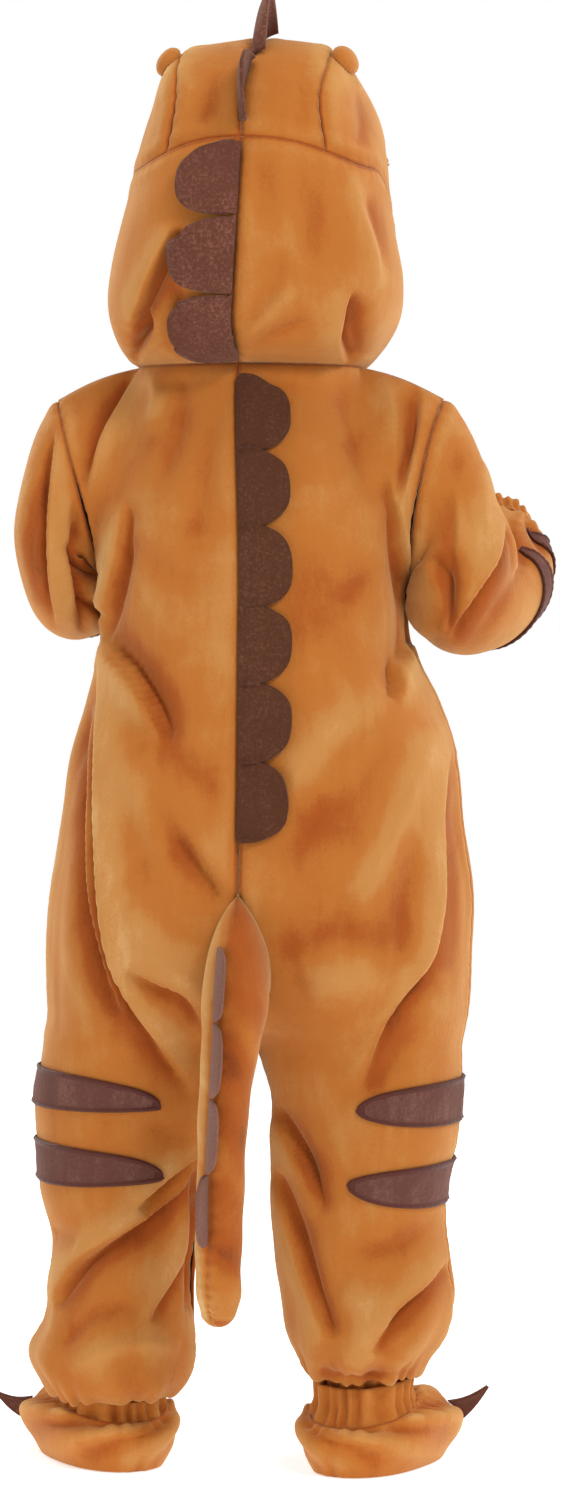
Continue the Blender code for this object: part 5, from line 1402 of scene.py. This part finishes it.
def add_tail():
    turns, rings = 88, 140
    turn, along = np.arange(turns) / turns, np.linspace(0.0, 1.0, rings)
    u, v = np.meshgrid(turn, along)
    skin = tail_point(u, v)
    wrapped = np.concatenate([skin, skin[:, :1]], axis=1)
    normals = grid_normals(wrapped, True, 1)[:, :-1]
    outwards = np.sum(normals * (skin - skin.mean(axis=1, keepdims=True)), axis=-1).mean()
    relief = tail_relief(u, v)
    body = (skin + normals * math.copysign(1.0, outwards) * relief[..., None])[TAIL_CLEAR:]
    root, inner = tail_root_ring(1.0, turn), tail_root_ring(0.4, turn)
    arriving = unit(body[1] - body[0]) * 0.030
    leaving = (body[0] - root) * np.array([0.5, 1.5, 0.2])
    blend = np.linspace(0, 1, TAIL_BLEND + 2)[1:-1]
    blend = [hermite(root, body[0], leaving, arriving, share) for share in blend]
    tip = np.array(point(*TAIL_TIP))
    end = [between(body[-1], tip, share) - [0, 0, drop] for share, drop in TAIL_END]
    loops = np.stack([inner, root, *blend, *body, *end])
    rows = len(loops)
    places = np.concatenate([loops.reshape(-1, 3), tip[None] - [0, 0, TAIL_TIP_DROP]])
    last = (rows - 1) * turns
    faces = grid_faces(rows, turns, True, 1)
    faces += [[last + c, last + (c + 1) % turns, rows * turns] for c in range(turns)]
    faces += cap_faces(0, turns, 1)
    # Painted shading: the folds' light and shade, painted shade darkest at the root seam and fading along the
    # first rows, and the left side painted lighter, the right darker.
    painted_shading = np.zeros((rows, turns))
    first = TAIL_BLEND + 2
    painted_shading[first:first + rings - TAIL_CLEAR] = np.clip(relief[TAIL_CLEAR:] / TAIL_DITCH.rise, -1, 1)
    painted_shading[2:2 + TAIL_SHADED] -= 0.35 * np.linspace(1.0, 0.0, TAIL_SHADED)[:, None]
    painted_shading += 0.85 * np.tanh(3.0 * np.sin(FULL_TURN * (turn - TAIL_SEAM_TURN)))[None, :]
    painted_shading[:2] = -1.9
    piece = mesh_piece("tail", places, faces, np.append(painted_shading.ravel(), 0.0))
    turn_outwards(piece)
    finish_piece(piece, "tail", "velour_tan")
    add_tail_spikes(along)


def turn_outwards(piece):
    bpy.ops.object.select_all(action="DESELECT")
    piece.select_set(True)
    bpy.context.view_layer.objects.active = piece
    bpy.ops.object.mode_set(mode="EDIT")
    bpy.ops.mesh.select_all(action="SELECT")
    bpy.ops.mesh.normals_make_consistent(inside=False)
    bpy.ops.object.mode_set(mode="OBJECT")


def add_tail_spikes(along):
    """Half discs of felt that stand in the tail's centre seam and lean aside."""
    seam = tail_point(TAIL_SEAM_TURN, along)
    heights = seam[:, 2] + SHOULDER_HEIGHT
    order = np.argsort(heights)
    run = 0.5 - 0.5 * np.cos(math.pi * np.linspace(0.02, 0.98, 44))
    share = np.linspace(0.0, 1.0, 10)
    for number, spike in enumerate(TAIL_SPIKES, 1):
        top, bottom = np.interp([spike.top, spike.bottom], heights[order], along[order])
        level = between(top, bottom, run)
        foot = tail_point(TAIL_SEAM_TURN, level)
        aside = tail_point(TAIL_SEAM_TURN + 0.01, level) - tail_point(TAIL_SEAM_TURN - 0.01, level)
        normal = unit(np.cross(aside, np.gradient(foot, axis=0)))
        normal = normal * np.sign(np.sum(normal * np.array([0.0, 1.0, 0.3]), axis=-1, keepdims=True))
        lean = TAIL_SPIKE_LEAN if number < len(TAIL_SPIKES) else TAIL_SPIKE_LAST_LEAN
        straight = between(normal[:, None], np.array([lean, 0.95, 0.0]), (0.5 + 0.5 * share)[None, :, None])
        tall = (spike.reach * half_disc(run))[:, None] * share
        places = foot[:, None] + normal[:, None] * TAIL_SPIKE_ROOT + unit(straight) * tall[..., None]
        size = (spike.reach, spike.top - spike.bottom)
        plate_piece(f"spike_tail_{number}", places, "felt_tail_lit", size, 0.9)


# Stripes


def add_band(name, place_at, size, facing):
    """A plush stripe with a raised satin-stitch border, laid on the cloth."""
    columns, rows = 110, 22
    share, level = np.meshgrid(np.linspace(0, 1, columns), np.linspace(-1, 1, rows))
    places, normals, width = place_at(share, level)
    edge = np.minimum((1 - np.abs(level)) * width / 2, np.minimum(share, 1 - share) * size[0])
    border = bell(edge - BORDER_PLACE, BORDER_HALF, 4)
    stitch = STITCH_DEPTH * np.sin(share * size[0] / STITCH_LENGTH * FULL_TURN)
    rise = STRIPE_SHEER + APPLIQUE + border * (BORDER_RISE + stitch) - 0.0006 * bell(edge, 0.0005)
    places = places + normals * rise[..., None]
    # The border's weight also darkens the stripe's plush beside it as painted shade, through the seam
    # attribute.
    piece = grid_piece(name, places, facing, seam=border)
    thicken(piece, APPLIQUE)
    finish_piece(piece, name, "velour_brown")
    piece.data.materials.append(cloth_material("satin_stitch"))
    for polygon in piece.data.polygons:
        row, column = divmod(polygon.index, columns - 1)
        if border[row, column] > 0.35 or min(edge[row, column], edge[row + 1, column + 1]) < BORDER_EDGE:
            polygon.material_index = 1
    area = grid_area(places)
    size = (size[0], max(size[1], 1.05 * area / size[0]))


def sleeve_band(side, row, share, level):
    turn = between(row.start, row.end, share)
    half = row.half_length * np.sin(math.pi * between(0.06, 0.94, share)) ** 0.7
    places, normals = sleeves[side].sample(turn, row.along + half * level)
    return places, normals, 2 * half * sleeves[side].length


def add_stripes():
    for side in (LEFT, RIGHT):
        for number, row in enumerate(SLEEVE_STRIPES, 1):
            name = f"sleeve_stripe_{SIDE_NAMES[side]}_{number}"
            size = (sleeves[side].width * (row.end - row.start), 2 * row.half_length * 0.17)
            add_band(name, partial(sleeve_band, side, row), size, side)
    counts = {LEFT: 0, RIGHT: 0}
    for row in LEG_STRIPES:
        counts[row.side] += 1
        side = SIDE_NAMES[row.side]
        name, rests = f"leg_stripe_{side}_{counts[row.side]}", [f"back_{side}", f"front_{side}"]
        add_band(name, partial(leg_band, row), LEG_STRIPE_SIZE, row.side)


def leg_band(row, share, level):
    back_run, front_run = 1 - row.back_reach, 1 - row.front_reach
    around = between(-back_run, front_run, share)
    run = np.where(around < 0, back_run, front_run)
    out = 1 - np.abs(around) / run
    widen = (1 - (1 - np.clip(out, 0.0, 1.0)) ** 3) ** 0.50
    top = between(row.tip, row.top + 0.002, widen)
    bottom = between(row.tip, row.bottom, widen)
    height = between(top, bottom, (level + 1) / 2)
    downs = np.linspace(0.4, 0.85, 400)
    heights = row_at(BODY[row.side], downs).height
    down = np.interp(-height, -heights, downs)
    across = np.minimum(1 - np.abs(around), 0.985)
    behind = panels[row.side, BACK].sample(across, down)
    before = panels[row.side, FRONT].sample(across, down)
    places = choose(around < 0, behind[0], before[0])
    normals = choose(around < 0, behind[1], before[1])
    return places, normals, top - bottom


# Booties


def collar_gathers(turn, up):
    flare = COLLAR_FLARE * ease((up - 0.45) / 0.55)
    pleats = COLLAR_PLEATS.depth + COLLAR_UNEVEN * np.sin(turn * 22 + 1.0)
    return flare + pleats * gathered(COLLAR_PLEATS, turn) * ease(up / 0.25)


def instep_gathers(turn, up):
    """The cover drawn in at its collar seam, most at the heel and instep, and its seam at the heel."""
    gap = np.minimum(turn, 1 - turn) * HEEL_ROUND
    dents = INSTEP_DENT * np.sin(FULL_TURN * (turn * 5 + 1.4 * up)) * ease(up / 0.3)
    drawn = INSTEP_GATHERS.depth * ease((up - 0.50) / 0.42) * gathered(INSTEP_GATHERS, turn)
    return bump(HEEL_PILLOW, gap) - bump(HEEL_DITCH, gap) + dents + drawn


booties = {}


def add_booties():
    for side in (LEFT, RIGHT):
        name = SIDE_NAMES[side]
        turns, edges = grid(0, 1, 168), Edges(PLAIN, PLAIN, PLAIN, NECK)
        cover = partial(bootie_point, side)
        cover = Sheet(cover, turns, grid(0, 1, 48), -side, edges, closed=True, calm=0.5, extra=instep_gathers)
        booties[side] = cover
        add_sheet(f"bootie_{name}", cover, "velour_foot_lit")
        collar = partial(collar_point, side)
        collar = Sheet(collar, turns, grid(0, 1, 16), -side, closed=True, calm=0.2, extra=collar_gathers)
        name, rests = f"bootie_collar_{name}", [f"bootie_{name}"]
        add_sheet(name, collar, "velour_foot_lit", fullness=1.3)
        for number, turn in enumerate(CLAW_TURNS, 1):
            add_claw(side, number, turn)


def add_claw(side, number, turn):
    """A flat felt claw set on edge into the toe: broad at its root and tapering up to a point."""
    cover = booties[side]
    around = 0.5 - turn / 360
    ups = np.linspace(0.0, 1.0, 200)
    column = swayed(bootie_point(side, around, ups))
    heights = column[:, 2] + SHOULDER_HEIGHT
    count = 14
    root_lift, tip_lift = CLAW_LIFTS[side if turn else 0]
    wanted = np.linspace(CLAW_ROOT[0], CLAW_ROOT[1], count) + root_lift
    root, normals = cover.sample(around, np.interp(wanted, heights, ups))
    root = root + normals * CLAW_LIFT
    angle = math.radians(turn)
    away = foot_place(side, math.cos(angle), math.sin(angle), 0.0) - foot_place(side, 0.0, 0.0, 0.0)
    middle = root[count // 2]
    tip = middle + away * CLAW_LENGTH
    tip[2] = CLAW_TIP_HEIGHT + tip_lift - SHOULDER_HEIGHT
    share = np.linspace(0.0, 1.0, 30)
    droop = np.array([0.0, 0.0, -CLAW_CURVE]) * np.sin(math.pi * share)[:, None, None]
    end = tip + (root - middle) * CLAW_POINT
    places = between(root[None], end[None], share[:, None, None]) + droop
    size = (CLAW_LENGTH + 0.002, CLAW_ROOT[1] - CLAW_ROOT[0])
    name = f"claw_{SIDE_NAMES[side]}_{number}"
    plate_piece(name, places, "felt_hood_lit", size, 0.56)


def add_placket():
    """The front placket, laid over the centre seam."""
    columns = 18
    levels = np.linspace(0, 0.5, 200)
    end = np.interp(-PLACKET_END, -row_at(BODY[LEFT], levels).height, levels)
    downs = np.concatenate([np.linspace(PLACKET_START, 0.0, 60)[:-1], np.linspace(0.0, end, 86)])
    places = np.zeros((len(downs), columns, 3))
    shares = np.linspace(-1.0, 1.0, columns)
    fine = np.linspace(0.0, 0.3, 80)
    for row, down in enumerate(downs):
        for side in (LEFT, RIGHT):
            panel = panels[side, FRONT]
            path, _ = panel.sample(fine, down)
            chosen = shares >= 0 if side == LEFT else shares < 0
            across = np.interp(np.abs(shares[chosen]) * PLACKET_HALF_WIDTH, distances(path), fine)
            _, normal = panel.sample(np.maximum(across, 0.02), down)
            flat, _ = panel.sample(across, down)
            places[row, chosen] = flat + normal * PLACKET_LIFT
    inwards = 1 - np.abs(shares)
    stitch = bell(inwards * PLACKET_HALF_WIDTH - 0.0025, 0.0006)
    places[..., 1] -= PLACKET_CROWN * (1 - bell(inwards, 0.2))[None]
    places[..., 1] += 0.0007 * stitch[None]
    # The stitch line's groove is also painted darker, as painted shade, through the seam attribute.
    seam = np.broadcast_to(stitch * 0.8, (len(downs), columns))
    piece = grid_piece("placket", places, 1, seam=seam)
    thicken(piece, PLACKET_THICKNESS)
    finish_piece(piece, "placket", "velour_tan")


add_body()
add_sleeves()
add_hood()
add_spikes()
add_fins()
add_brows()
add_tail()
add_stripes()
add_booties()
add_placket()


# The nodes that show as they are: soles and buttons


def plain_material(name, colour, roughness, sheen):
    made = bpy.data.materials.new(name)
    made.use_nodes = True
    shader = made.node_tree.nodes["Principled BSDF"]
    shader.inputs["Base Color"].default_value = (*colour, 1.0)
    shader.inputs["Roughness"].default_value = roughness
    shader.inputs["Sheen Weight"].default_value = sheen
    return made


button_look = plain_material("button_brown_look", (0.055, 0.020, 0.012), 0.32, 0.0)
for name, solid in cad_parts.items():
    if name.startswith("bootie_sole"):
        solid.data.materials.clear()
        solid.data.materials.append(cloth_material("velour_tan"))
    elif name.startswith("button"):
        solid.data.materials.clear()
        solid.data.materials.append(button_look)


# Floor, light and camera


Light = namedtuple("Light", "name place size power")
LIGHT_AIM = (0.0, 0.0, -0.25)
LIGHTS = [
    Light("key", (-1.5, 1.9, 1.7), (0.7, 0.7), 44.0),
    Light("fill", (2.1, 1.4, 0.2), (1.4, 1.4), 9.0),
    Light("top", (0.1, 0.5, 2.3), (1.0, 1.0), 24.0),
    Light("rim_left", (1.6, -1.4, 0.6), (0.8, 1.6), 20.0),
    Light("rim_right", (-1.7, -1.2, 0.6), (0.8, 1.6), 20.0),
]


def add_light(name, place, size, power):
    lamp = bpy.data.lights.new(name, "AREA")
    lamp.shape = "RECTANGLE"
    lamp.size, lamp.size_y = size
    lamp.energy = power
    holder = bpy.data.objects.new(name, lamp)
    holder.location = place
    holder.rotation_euler = (Vector(LIGHT_AIM) - Vector(place)).to_track_quat("-Z", "Y").to_euler()
    scene.collection.objects.link(holder)


SKY = [(0.0, (1.0, 1.0, 1.0)), (0.12, (1.0, 1.0, 1.0)), (0.40, (0.42, 0.42, 0.43)), (1.0, (0.34, 0.34, 0.35))]


def add_stage():
    place = (0.0, 0.0, FLOOR - FLOOR_GAP)
    bpy.ops.mesh.primitive_circle_add(vertices=128, radius=FLOOR_RADIUS, fill_type="NGON", location=place)
    floor = bpy.context.object
    floor.name = "floor"
    look = plain_material("floor_white", (0.93, 0.93, 0.93), 0.9, 0.0)
    shader = look.node_tree.nodes["Principled BSDF"]
    shader.inputs["Emission Color"].default_value = (1.0, 1.0, 1.0, 1.0)
    shader.inputs["Emission Strength"].default_value = 0.55
    floor.data.materials.append(look)
    world = bpy.data.worlds.new("studio")
    world.use_nodes = True
    tree = world.node_tree
    way = node(tree, "ShaderNodeTexCoord", {}, [], 0)
    upwards = node(tree, "ShaderNodeSeparateXYZ", {}, [way], 2)
    tree.links.new(ramp(tree, upwards, SKY).output, tree.nodes["Background"].inputs[0])
    tree.nodes["Background"].inputs[1].default_value = 1.0
    scene.world = world
    for light in LIGHTS:
        add_light(*light)
    camera = bpy.data.cameras.new("camera")
    camera.lens, camera.sensor_width = LENS, SENSOR
    holder = bpy.data.objects.new("camera", camera)
    holder.location = EYE.tolist()
    holder.rotation_euler = Vector(EYE_LOOK.tolist()).to_track_quat("-Z", "Y").to_euler()
    scene.collection.objects.link(holder)
    scene.camera = holder
    scene.view_settings.view_transform = "Standard"


add_stage()
